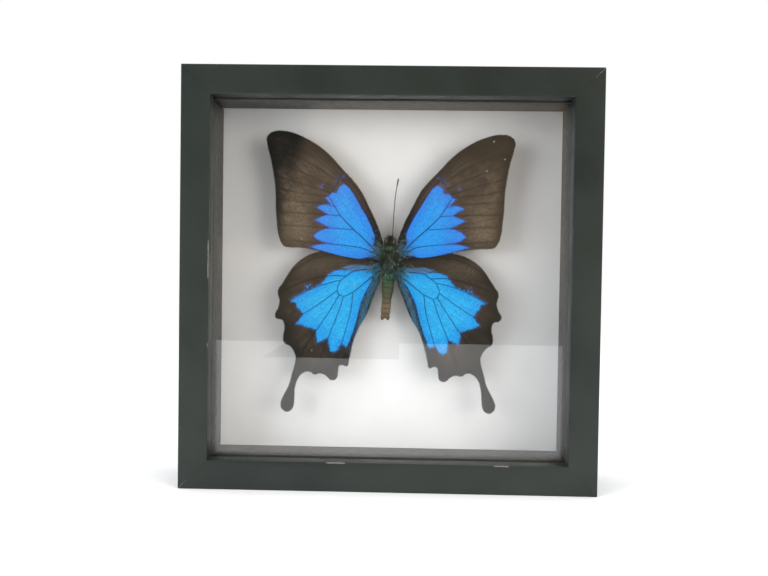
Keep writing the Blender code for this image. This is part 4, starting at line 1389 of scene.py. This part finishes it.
def build_head(looks, templates, materials, rng):
    """The head: cranium, two glossy eyes, palps, antenna sockets, a coiled tongue underneath, and hair."""
    low, high = HEAD_BOX
    centre = (low + high) / 2
    radii = (high - low) / 2
    skull = ball("head_furred", centre, (1.02 * radii.x, 0.9 * radii.y, 0.9 * radii.z), 40, 28)
    eyes = []
    for side in (-1.0, 1.0):
        place = (centre.x + side * 0.55 * radii.x, centre.y - 0.75 * MM, centre.z + 0.3 * MM)
        eyes.append(ball("eye", place, (1.22 * MM, 1.62 * MM, 1.6 * MM), 32, 24))
    parts = [skull]
    for side in (-1.0, 1.0):
        parts.append(ball("palp", (centre.x + side * 0.62 * MM, centre.y - 0.7 * MM, centre.z + 1.35 * MM),
                          (0.55 * MM, 0.62 * MM, 0.85 * MM), 20, 14, (math.radians(18.0), 0.0, 0.0)))
        parts.append(ball("socket", (centre.x + side * 0.85 * MM, centre.y - 1.35 * MM, centre.z + 1.25 * MM),
                          (0.42 * MM, 0.34 * MM, 0.42 * MM), 16, 10))
    turns = np.linspace(0.0, TONGUE_TURNS * 2 * math.pi, TONGUE_POINTS)
    wind = (0.95 - 0.028 * turns * 1.7) * MM
    coil = np.column_stack((
        np.full(TONGUE_POINTS, centre.x),
        centre.y + 1.5 * MM + np.cos(turns) * wind,
        centre.z + 0.9 * MM + np.sin(turns) * wind,
    ))
    parts.append(tubes("tongue", [(coil, np.ones(TONGUE_POINTS))], TONGUE_RADIUS, 1))
    for part in parts:
        dress(part, materials[0])
        shade(part, math.radians(60.0))
    for eye in eyes:
        dress(eye, materials[2])
        shade(eye, math.radians(80.0))
    hair, _scale = templates

    def off_eyes(places, outs):
        aside = np.abs(places[:, 0] - centre.x) / MM
        return (0.12 + ease(-aside, -1.5, -0.8)) * (outs[:, 1] < 0.7)

    dark = pick_tints(rng, looks.head_hairs, (0.0, 0.12, 0.26, 0.95), (0.7, 0.2, 0.08, 0.02))
    coat = pile("head_hair", hair, skull, looks.head_hairs, rng, (0.0, -0.4, -0.15),
                (0.5 * MM, looks.head_hair_length), (0.05 * MM, 0.10 * MM), dark, 0.2, 0.35, off_eyes)
    dress(coat, materials[1])
    head = join("head_furred", [*parts, *eyes, coat])
    finish_piece(head, "head_pile", "head")
    return head


def build_abdomen(looks, templates, materials, rng):
    """The abdomen: overlapping rings that taper to two claspers, under close-lying scales."""
    top = Vector(ABDOMEN_TOP) * MM
    lean = math.radians(ABDOMEN_LEAN)
    run = Vector((-math.sin(lean), 0.0, -math.cos(lean)))
    span = ABDOMEN_SPAN * MM
    deselect_all()
    bpy.ops.mesh.primitive_uv_sphere_add(segments=44, ring_count=112, radius=1.0)
    core = added("abdomen_core")
    places = places_of(core)
    polar = np.arccos(np.clip(places[:, 2], -1.0, 1.0)) / math.pi
    turn = np.arctan2(places[:, 1], places[:, 0])
    share = np.clip(polar * 1.04 - 0.02, 0.0, 1.0)
    radius = np.interp(share, *np.array(ABDOMEN_RADII).T) * MM
    radius *= np.sqrt(np.clip(np.minimum(polar, 1.0 - polar) / 0.035, 0.0, 1.0))
    ring = share * RING_COUNT
    joint = ring - np.floor(ring)
    radius *= 0.93 + 0.075 * joint ** 1.5 - 0.05 * ease(joint, 0.93, 1.0)
    keel = 1.0 + 0.05 * np.cos(2.0 * turn)
    shift = np.array(run) * (share * span)[:, None]
    across = np.array((math.cos(lean), 0.0, -math.sin(lean)))
    placed = (
        np.array(top) + shift
        + across * (np.cos(turn) * radius / keel)[:, None]
        + np.array((0.0, 1.0, 0.0)) * (np.sin(turn) * radius * keel)[:, None]
    )
    move_to(core, placed)
    mark(core, "along", share)
    # Darker down both flanks of the upper rings; this darkening is stored together with the dark joints in
    # the joint mark.
    flank = ease(np.abs(np.cos(turn)), 0.7, 0.95) * ease(-share, -0.6, -0.4)
    mark(core, "joint", np.maximum(np.exp(-((np.minimum(joint, 1.0 - joint) / 0.1) ** 2)), flank))
    claspers = []
    tip = top + run * (span - 0.6 * MM)
    for side in (-1.0, 1.0):
        lobe = ball("clasper", tip + Vector((side * 1.15 * MM, 0.0, 0.1 * MM)),
                    (0.92 * MM, 1.3 * MM, 1.6 * MM), 24, 18, (0.0, lean + side * math.radians(-6.0), 0.0))
        mark(lobe, "along", np.full(len(lobe.data.vertices), 1.0))
        mark(lobe, "joint", np.zeros(len(lobe.data.vertices)))
        claspers.append(lobe)
    core = join("abdomen_scaled", [core, *claspers])
    dress(core, materials[0])
    shade(core, math.radians(60.0))
    _hair, scale = templates
    count = looks.abdomen_scales
    roots, outs = sample_surface(core, count, rng, lambda places, outs: (outs[:, 1] < 0.45) + 0.05)
    share = np.clip((roots - np.array(top)) @ np.array(run) / span, 0.0, 1.0)
    ways = outs * 0.16 + np.array(run) + rng.normal(0.0, 0.14, outs.shape)
    ring = share * RING_COUNT % 1.0
    flank = (np.abs(outs[:, 0]) > 0.72) & (share < 0.55)
    kept = (np.minimum(ring, 1.0 - ring) > 0.12) & ~(flank & (rng.random(count) < 0.8))
    roots, outs, ways, share = roots[kept], outs[kept], ways[kept], share[kept]
    count = len(roots)
    tints = np.clip(share + rng.normal(0.0, 0.09, count), 0.0, 1.0)
    flakes = scatter("abdomen_flakes", scale, roots, ways, outs, rng.uniform(0.3, 0.55, count) * MM,
                     rng.uniform(0.10, 0.17, count) * MM, tints)
    dress(flakes, materials[1])
    abdomen = join("abdomen_scaled", [core, flakes])
    finish_piece(abdomen, "abdomen_scales", "abdomen")
    return abdomen


def build_antenna(material):
    """The one antenna: a jointed thread that thickens to its club."""
    line = smooth_line(ANTENNA_ROUTE, ANTENNA_STEP)
    places = np.column_stack((
        line[:, 0] * MM,
        line[:, 2] * MM + FRAME_LOW.y,
        line[:, 1] * MM + WING_CENTRE_HEIGHT,
    ))
    share = np.linspace(0.0, 1.0, len(line))
    run = share * len(line) * ANTENNA_STEP
    swell = np.where(share < 0.84, 0.19 + 0.03 * share, 0.215 + 0.19 * np.sin(ease(share, 0.84, 1.02) * 2.4))
    ring = 0.5 + 0.5 * np.cos(run / ANTENNA_JOINT * 2.0 * math.pi)
    radii = swell * (0.93 + 0.11 * ring)
    radii[0] *= 1.1
    radii[-1] *= 0.45
    thread = tubes("antenna_right_jointed", [(places, radii)], MM, 2)
    gaps = np.abs(places_of(thread)[:, None, 2] - places[None, :, 2])
    nearest = gaps.argmin(axis=1)
    mark(thread, "ring", ring[nearest])
    dress(thread, material)
    shade(thread, math.radians(70.0))
    finish_piece(thread, "antenna", "antenna_right")
    return thread


# ---------------------------------------------------------------- stage

def build_floor(material):
    """A pale table top that ends a little in front, with a bay in its front edge."""
    deselect_all()
    bpy.ops.mesh.primitive_plane_add(size=2.0)
    floor = added("table_top")
    front, back = FLOOR_REACH
    floor.scale = (FLOOR_HALF_WIDTH, (back - front) / 2, 1.0)
    floor.location = (0.0, (front + back) / 2, -FLOOR_CLEARANCE)
    settle(floor)
    focus(floor)
    bpy.ops.object.mode_set(mode="EDIT")
    bay_left, bay_right, bay_depth = FLOOR_BAY
    cuts = (
        ((bay_left, 0, 0), (1, 0, 0)),
        ((bay_right, 0, 0), (1, 0, 0)),
        ((0, bay_depth, 0), (0, 1, 0)),
    )
    for place, way in cuts:
        bpy.ops.mesh.select_all(action="SELECT")
        bpy.ops.mesh.bisect(plane_co=place, plane_no=way)
    bpy.ops.mesh.select_mode(type="FACE")
    bpy.ops.mesh.select_all(action="DESELECT")
    bpy.ops.object.mode_set(mode="OBJECT")
    for face in floor.data.polygons:
        face.select = bay_left < face.center.x < bay_right and face.center.y < bay_depth
    bpy.ops.object.mode_set(mode="EDIT")
    bpy.ops.mesh.delete(type="FACE")
    bpy.ops.object.mode_set(mode="OBJECT")
    dress(floor, material)
    return floor


def floor_material(looks):
    """A matt white table top with a faint tooth."""
    material, on, shader = new_material("table_top")
    place = on.object_place()
    mottle = on.noise(place, 12.0, 4.0)
    on.feed(shader["Base Color"], on.mix(mottle, looks.floor, [0.985 * part for part in looks.floor]))
    on.feed(shader["Roughness"], on.step(mottle, 0.3, 0.7, 0.6, 0.7))
    set_constants(shader, Specular_IOR_Level=0.2)
    return material


def build_room(looks):
    """White behind, a soft dome for the light, and a dim warm room for the pane to mirror."""
    world = bpy.data.worlds.new("studio")
    bpy.context.scene.world = world
    world.use_nodes = True
    tree = world.node_tree
    tree.nodes.clear()
    on = Wiring(tree)
    way = on.add("ShaderNodeTexCoord").outputs["Generated"]
    parts = on.add("ShaderNodeSeparateXYZ", {0: way}).outputs
    facing = on.math("MAXIMUM", on.math("ABSOLUTE", parts[1]), 0.02)
    aside = on.math("DIVIDE", parts[0], facing)
    rise = on.math("DIVIDE", parts[2], facing)
    warm = on.mix(on.step(on.noise(way, 1.6, 2.0), 0.35, 0.65), looks.room, looks.room_shade)
    slope = on.math("SUBTRACT", aside, on.math("MULTIPLY_ADD", rise, 0.27, -0.1765))
    shadow = on.times(on.step(slope, -0.012, 0.012, 1.0, 0.0), on.step(rise, 0.02, 0.05))
    mirrored = on.mix(shadow, warm, looks.room_dark)
    spread = on.math("SQRT", on.math("ADD", on.math("POWER", aside, 2.0), on.math("POWER", rise, 2.0)))
    mirrored = on.mix(on.step(spread, 0.05, 0.15, 0.75, 0.0), mirrored, looks.room_dark)
    mirrored = on.mix(on.step(rise, 0.03, -0.02, 0.0, 0.6), mirrored, looks.room_dark)
    low_strip = on.step(rise, -0.088, -0.035, 1.0, 0.0)
    mirrored = on.mix(low_strip, mirrored, looks.room_edge)
    in_front = on.step(parts[1], -0.02, 0.02, 1.0, 0.0)
    mirrored = on.mix(in_front, looks.dome, mirrored)
    overhead = on.step(rise, 0.7, 1.3)
    mirrored = on.mix(overhead, mirrored, looks.dome)
    ahead = on.step(parts[1], -0.55, -0.95)
    dome = on.mix(on.times(ahead, 0.8), looks.dome, (0.1, 0.1, 0.1))
    path = on.add("ShaderNodeLightPath").outputs
    seen = on.mix(path["Is Glossy Ray"], dome, mirrored)
    seen = on.mix(path["Is Camera Ray"], seen, (1.0, 1.0, 1.0))
    background = on.add("ShaderNodeBackground", {"Color": seen})
    strength = on.mix(path["Is Diffuse Ray"], (1.0, 1.0, 1.0), [looks.dome_strength] * 3)
    on.feed(background.inputs["Strength"], strength)
    end = on.add("ShaderNodeOutputWorld")
    on.feed(end.inputs["Surface"], background.outputs[0])
    return world


def build_lamp(name, place, aim, size, power, colour):
    """One large soft lamp that faces a point."""
    data = bpy.data.lights.new(name, "AREA")
    data.shape = "RECTANGLE"
    data.size, data.size_y = size
    data.energy = power
    data.color = colour
    lamp = bpy.data.objects.new(name, data)
    bpy.context.scene.collection.objects.link(lamp)
    lamp.visible_glossy = False
    lamp.location = place
    lamp.rotation_euler = (Vector(aim) - Vector(place)).to_track_quat("-Z", "Y").to_euler()
    return lamp


def build_camera():
    """The camera, in front of the pane and a little to the right of its middle."""
    data = bpy.data.cameras.new("camera")
    data.lens = CAMERA_LENS
    data.sensor_width = CAMERA_SENSOR
    data.clip_start = 0.01
    data.clip_end = 20.0
    camera = bpy.data.objects.new("camera", data)
    bpy.context.scene.collection.objects.link(camera)
    pitch, yaw, roll = CAMERA_AIM
    ahead = Vector((math.sin(yaw) * math.cos(pitch), math.cos(yaw) * math.cos(pitch), math.sin(pitch)))
    right = Vector((math.cos(yaw), -math.sin(yaw), 0.0))
    up = right.cross(ahead)
    rolled_right = right * math.cos(roll) + up * math.sin(roll)
    rolled_up = up * math.cos(roll) - right * math.sin(roll)
    turn = Matrix((rolled_right, rolled_up, -ahead)).transposed()
    camera.matrix_world = Matrix.Translation(CAMERA_PLACE) @ turn.to_4x4()
    bpy.context.scene.camera = camera
    return camera


# ---------------------------------------------------------------- properties

def length(name, description, default):
    """A length in metres that a user may change."""
    return bpy.props.FloatProperty(
        name=name, description=description, default=default, min=0.0, soft_max=4 * default,
        precision=5, subtype="DISTANCE", unit="LENGTH",
    )


def share(name, description, default, highest=1.0):
    return bpy.props.FloatProperty(name=name, description=description, default=default, min=0.0, max=highest,
                                   subtype="FACTOR")


def count(name, description, default):
    return bpy.props.IntProperty(name=name, description=description, default=default, min=10, max=12000)


def colour(name, description, default):
    return bpy.props.FloatVectorProperty(
        name=name, description=description, default=default, size=3, min=0.0, max=1.0, subtype="COLOR",
    )


def watts(name, description, default):
    return bpy.props.FloatProperty(name=name, description=description, default=default, min=0.0)


class SpecimenFrameLooks(bpy.types.PropertyGroup):
    arris: length("Arris", "Width of the softened long edges of the rails", 0.25 * MM)
    paint: colour("Paint", "Satin near-black paint", (0.0125, 0.0172, 0.0150))
    paint_worn: colour("Thin paint", "Paint where the grain or a worn patch shows", (0.0215, 0.0275, 0.0235))
    paint_roughness: share("Paint roughness", "Middle roughness of the paint", 0.42)
    scuff_colour: colour("Scuffs", "Bare, rubbed edges of the lip", (0.34, 0.31, 0.26))
    dust_amount: share("Dust", "Share of the surface cells that hold a speck", 0.16)
    dust_colour: colour("Dust colour", "Grey dust and lint", (0.30, 0.29, 0.27))
    glass_ripple: share("Glass ripple", "Strength of the pane's faint ripple", 0.02)
    lining: colour("Lining", "Dark strip inside the box", (0.038, 0.038, 0.033))
    card: colour("Card", "Pale mount card", (0.71, 0.72, 0.725))
    board: colour("Board", "Hardboard at the back", (0.32, 0.20, 0.11))
    steel: colour("Steel", "Zinc-plated points, hanger and nails", (0.60, 0.58, 0.55))
    cork: colour("Cork", "Cork of the post", (0.45, 0.32, 0.20))


class SpecimenWingLooks(bpy.types.PropertyGroup):
    cell: length("Mesh cell", "Side of a cell of the wing mesh", 0.42 * MM)
    membrane: length("Membrane", "Thickness of the wing membrane", 0.12 * MM)
    vein_size: share("Vein size", "Factor on every vein's radius", 0.75, 3.0)
    root_hairs: count("Root hairs", "Dark hairs over each wing's root", 200)
    root_streaks: count("Root streaks", "Bright tufts over each wing's root", 190)
    root_hair_length: length("Root hair length", "Longest hair over a wing's root", 2.6 * MM)
    margin_hairs: count("Margin hairs", "Hairs down a hindwing's inner margin", 620)
    fringe_scales: count("Fringe scales", "Scales along each wing's rim", 1500)
    ground: colour("Ground", "Brown-black scales", (0.0105, 0.0088, 0.0066))
    ground_pale: colour("Pale streaks", "Rubbed, pale scales between the veins", (0.108, 0.082, 0.056))
    ground_ruddy: colour("Ruddy edge", "Reddish scales beside the blue", (0.045, 0.022, 0.014))
    forewing_blue: colour("Forewing blue", "Azure near the edge of the forewing patch", (0.020, 0.245, 0.76))
    forewing_bright: colour(
        "Forewing bright blue", "Azure in the middle of the forewing patch", (0.016, 0.34, 0.81),
    )
    hindwing_blue: colour("Hindwing blue", "Azure near the edge of the hindwing patch", (0.012, 0.36, 0.76))
    hindwing_bright: colour("Hindwing bright blue", "Azure in the hindwing patch", (0.024, 0.46, 0.80))
    violet: colour("Violet", "Scales at the edges of the blue", (0.045, 0.05, 0.42))
    blue_shade: colour("Blue shade", "Shade between the blue scales", (0.004, 0.07, 0.33))
    haze: colour("Haze", "Dusty grey-violet bloom", (0.06, 0.20, 0.40))
    vein: colour("Veins", "Dark veins", (0.004, 0.0035, 0.003))
    vein_blue: colour("Veins in the blue", "Veins under blue scales", (0.002, 0.010, 0.035))
    bare: colour("Bare spots", "Places that have lost their scales", (0.46, 0.42, 0.37))
    under: colour("Underside", "Brown underside", (0.060, 0.042, 0.028))


class SpecimenBodyLooks(bpy.types.PropertyGroup):
    thorax_hairs: count("Thorax hairs", "Dark hairs on the thorax", 3600)
    thorax_tufts: count("Thorax tufts", "Thicker, brighter hairs on the thorax", 300)
    thorax_hair_length: length("Thorax hair length", "Longest hair on the thorax", 2.0 * MM)
    thorax_scales: count("Thorax scales", "Green scales on the thorax's hind end", 380)
    head_hairs: count("Head hairs", "Hairs on the head", 1400)
    head_hair_length: length("Head hair length", "Longest hair on the head", 1.5 * MM)
    abdomen_scales: count("Abdomen scales", "Scales that stand off the abdomen", 3200)
    cuticle: colour("Cuticle", "Near-black cuticle", (0.006, 0.0065, 0.006))
    black: colour("Black pile", "Black hair", (0.007, 0.009, 0.008))
    green: colour("Green", "Green hair and scales", (0.026, 0.135, 0.056))
    teal: colour("Teal", "Teal scales", (0.020, 0.13, 0.15))
    cyan: colour("Cyan", "Bright scales at the wing roots", (0.09, 0.36, 0.55))
    pale: colour("Pale tufts", "Whitish hair", (0.50, 0.50, 0.44))
    olive_green: colour("Olive green", "Scales on the abdomen's upper rings", (0.042, 0.075, 0.032))
    olive: colour("Olive", "Scales on the abdomen's middle rings", (0.095, 0.085, 0.045))
    tan: colour("Tan", "Scales on the abdomen's lower rings", (0.205, 0.148, 0.084))
    tan_dark: colour("Dark tan", "Scales at the abdomen's tip", (0.155, 0.112, 0.066))
    eye: colour("Eyes", "Dark brown eyes", (0.030, 0.020, 0.014))
    antenna: colour("Antenna", "Dark brown antenna", (0.030, 0.018, 0.012))


class SpecimenStageLooks(bpy.types.PropertyGroup):
    floor: colour("Table", "White table top", (0.93, 0.93, 0.92))
    dome: colour("Dome", "Soft light from all round", (0.95, 0.97, 1.0))
    dome_strength: share("Dome strength", "Strength of the soft light", 0.86, 5.0)
    room: colour("Room", "Warm room that the pane mirrors", (0.58, 0.42, 0.27))
    room_shade: colour("Room shade", "Darker parts of that room", (0.47, 0.34, 0.22))
    room_dark: colour("Dark corner", "Dark corner of that room", (0.05, 0.055, 0.048))
    room_edge: colour("Dark strip", "Dark strip under the room", (0.12, 0.11, 0.10))
    key_power: watts("Key power", "Power of the large soft lamp in watts", 11.8)
    overhead_power: watts("Overhead power", "Power of the lamp above in watts", 19.0)
    fill_power: watts("Fill power", "Power of the smaller warm lamp in watts", 11.4)


# ---------------------------------------------------------------- operators

def make_templates():
    return hair_template(), scale_template()


def body_pile(name, looks):
    return pile_material(name, looks, looks.black, looks.green, looks.teal, looks.cyan, looks.pale)


class SPECIMEN_OT_rails(bpy.types.Operator):
    """Build the four painted rails of the frame"""

    bl_idname = "specimen.build_rails"
    bl_label = "Rails"

    def execute(self, context):
        looks = context.scene.specimen_frame
        material = paint_material(looks)
        for node in ("rail_top", "rail_bottom", "rail_left", "rail_right"):
            build_rail(node, looks, material)
        return {"FINISHED"}


class SPECIMEN_OT_glass(bpy.types.Operator):
    """Give the pane its glass"""

    bl_idname = "specimen.build_glass"
    bl_label = "Glass"

    def execute(self, context):
        redress_node("glass_pane", glass_material(context.scene.specimen_frame))
        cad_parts["glass_pane"].visible_shadow = False
        return {"FINISHED"}


class SPECIMEN_OT_lining(bpy.types.Operator):
    """Finish the dark strips inside the box and the pale card behind them"""

    bl_idname = "specimen.build_lining"
    bl_label = "Lining and card"

    def execute(self, context):
        looks = context.scene.specimen_frame
        strip = lining_material(looks)
        for side in ("top", "bottom", "left", "right"):
            redress_node("spacer_" + side, strip)
        redress_node("backing_card", card_material(looks))
        return {"FINISHED"}


class SPECIMEN_OT_back(bpy.types.Operator):
    """Finish the back board, its points, and the hanger with its nails"""

    bl_idname = "specimen.build_back"
    bl_label = "Back"

    def execute(self, context):
        looks = context.scene.specimen_frame
        redress_node("back_board", board_material(looks))
        steel = steel_material(looks)
        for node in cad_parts:
            if node.startswith(("point_", "hanger_")):
                redress_node(node, steel)
        return {"FINISHED"}


class SPECIMEN_OT_post(bpy.types.Operator):
    """Finish the cork post that holds the body off the card"""

    bl_idname = "specimen.build_post"
    bl_label = "Post"

    def execute(self, context):
        redress_node("mount_post", cork_material(context.scene.specimen_frame))
        return {"FINISHED"}


class SPECIMEN_OT_wings(bpy.types.Operator):
    """Build the four wings with their veins, hair and fringes"""

    bl_idname = "specimen.build_wings"
    bl_label = "Wings"

    def execute(self, context):
        looks = context.scene.specimen_wings
        templates = make_templates()
        pile_finish = body_pile("wing_pile", context.scene.specimen_body)
        forewing = wing_material(
            "forewing_scales", looks, looks.forewing_blue, looks.forewing_bright, 0.75, 1.5, 1.0,
        )
        hindwing = wing_material(
            "hindwing_scales", looks, looks.hindwing_blue, looks.hindwing_bright, 0.35, 3.4, 0.45,
        )
        for index, node in enumerate(WING_SETTING):
            ground = forewing if node.startswith("forewing") else hindwing
            rng = np.random.default_rng(WING_SEED + index)
            build_wing(node, looks, templates, (ground, pile_finish), rng)
        return {"FINISHED"}


class SPECIMEN_OT_thorax(bpy.types.Operator):
    """Build the furred thorax"""

    bl_idname = "specimen.build_thorax"
    bl_label = "Thorax"

    def execute(self, context):
        looks = context.scene.specimen_body
        finish = cuticle_material("thorax_cuticle", looks.cuticle, looks.green, 0.4)
        build_thorax(looks, make_templates(), (finish, body_pile("thorax_pile", looks)),
                     np.random.default_rng(THORAX_SEED))
        return {"FINISHED"}


class SPECIMEN_OT_head(bpy.types.Operator):
    """Build the head with its eyes, palps and tongue"""

    bl_idname = "specimen.build_head"
    bl_label = "Head"

    def execute(self, context):
        looks = context.scene.specimen_body
        finish = cuticle_material("head_cuticle", looks.cuticle, looks.black, 0.4)
        build_head(looks, make_templates(), (finish, body_pile("head_pile", looks), eye_material(looks)),
                   np.random.default_rng(HEAD_SEED))
        return {"FINISHED"}


class SPECIMEN_OT_abdomen(bpy.types.Operator):
    """Build the ringed abdomen and its scales"""

    bl_idname = "specimen.build_abdomen"
    bl_label = "Abdomen"

    def execute(self, context):
        looks = context.scene.specimen_body
        tones = (looks.green, looks.olive_green, looks.olive, looks.tan, looks.tan_dark)
        loose = pile_material("abdomen_loose_scales", looks, *tones)
        build_abdomen(looks, make_templates(), (abdomen_material(looks), loose),
                      np.random.default_rng(ABDOMEN_SEED))
        return {"FINISHED"}


class SPECIMEN_OT_antenna(bpy.types.Operator):
    """Build the one antenna that is left"""

    bl_idname = "specimen.build_antenna"
    bl_label = "Antenna"

    def execute(self, context):
        looks = context.scene.specimen_body
        build_antenna(antenna_material(looks))
        return {"FINISHED"}


class SPECIMEN_OT_stage(bpy.types.Operator):
    """Set up the table, the light, the room and the camera"""

    bl_idname = "specimen.build_stage"
    bl_label = "Stage"

    def execute(self, context):
        looks = context.scene.specimen_stage
        build_floor(floor_material(looks))
        build_room(looks)
        build_lamp("key_lamp", KEY_PLACE, AIM_PLACE, KEY_SIZE, looks.key_power, KEY_COLOUR)
        build_lamp("fill_lamp", FILL_PLACE, AIM_PLACE, FILL_SIZE, looks.fill_power, FILL_COLOUR)
        power = looks.overhead_power
        build_lamp("overhead_lamp", OVERHEAD_PLACE, AIM_PLACE, OVERHEAD_SIZE, power, OVERHEAD_COLOUR)
        build_camera()
        context.scene.view_settings.view_transform = "Standard"
        return {"FINISHED"}


OPERATORS = (
    SPECIMEN_OT_rails, SPECIMEN_OT_glass, SPECIMEN_OT_lining, SPECIMEN_OT_back, SPECIMEN_OT_post,
    SPECIMEN_OT_wings, SPECIMEN_OT_thorax, SPECIMEN_OT_head, SPECIMEN_OT_abdomen, SPECIMEN_OT_antenna,
    SPECIMEN_OT_stage,
)
LOOKS = {
    "specimen_frame": SpecimenFrameLooks,
    "specimen_wings": SpecimenWingLooks,
    "specimen_body": SpecimenBodyLooks,
    "specimen_stage": SpecimenStageLooks,
}


class SPECIMEN_PT_panel(bpy.types.Panel):
    """The specimen's pieces and their sizes and colours"""

    bl_idname = "SPECIMEN_PT_panel"
    bl_label = "Framed Butterfly"
    bl_space_type = "VIEW_3D"
    bl_region_type = "UI"
    bl_category = "Specimen"

    def draw(self, context):
        for operator in OPERATORS:
            self.layout.operator(operator.bl_idname)
        for group, looks in LOOKS.items():
            box = self.layout.box()
            for name in looks.__annotations__:
                box.prop(getattr(context.scene, group), name)


def register():
    for looks in LOOKS.values():
        bpy.utils.register_class(looks)
    for name, looks in LOOKS.items():
        setattr(bpy.types.Scene, name, bpy.props.PointerProperty(type=looks))
    for operator in OPERATORS:
        bpy.utils.register_class(operator)
    bpy.utils.register_class(SPECIMEN_PT_panel)


def unregister():
    bpy.utils.unregister_class(SPECIMEN_PT_panel)
    for operator in reversed(OPERATORS):
        bpy.utils.unregister_class(operator)
    for name, looks in LOOKS.items():
        delattr(bpy.types.Scene, name)
        bpy.utils.unregister_class(looks)


def main():
    register()
    bpy.ops.specimen.build_rails()
    bpy.ops.specimen.build_glass()
    bpy.ops.specimen.build_lining()
    bpy.ops.specimen.build_back()
    bpy.ops.specimen.build_post()
    bpy.ops.specimen.build_wings()
    bpy.ops.specimen.build_thorax()
    bpy.ops.specimen.build_head()
    bpy.ops.specimen.build_abdomen()
    bpy.ops.specimen.build_antenna()
    bpy.ops.specimen.build_stage()
    deselect_all()


if __name__ == "__main__":
    main()
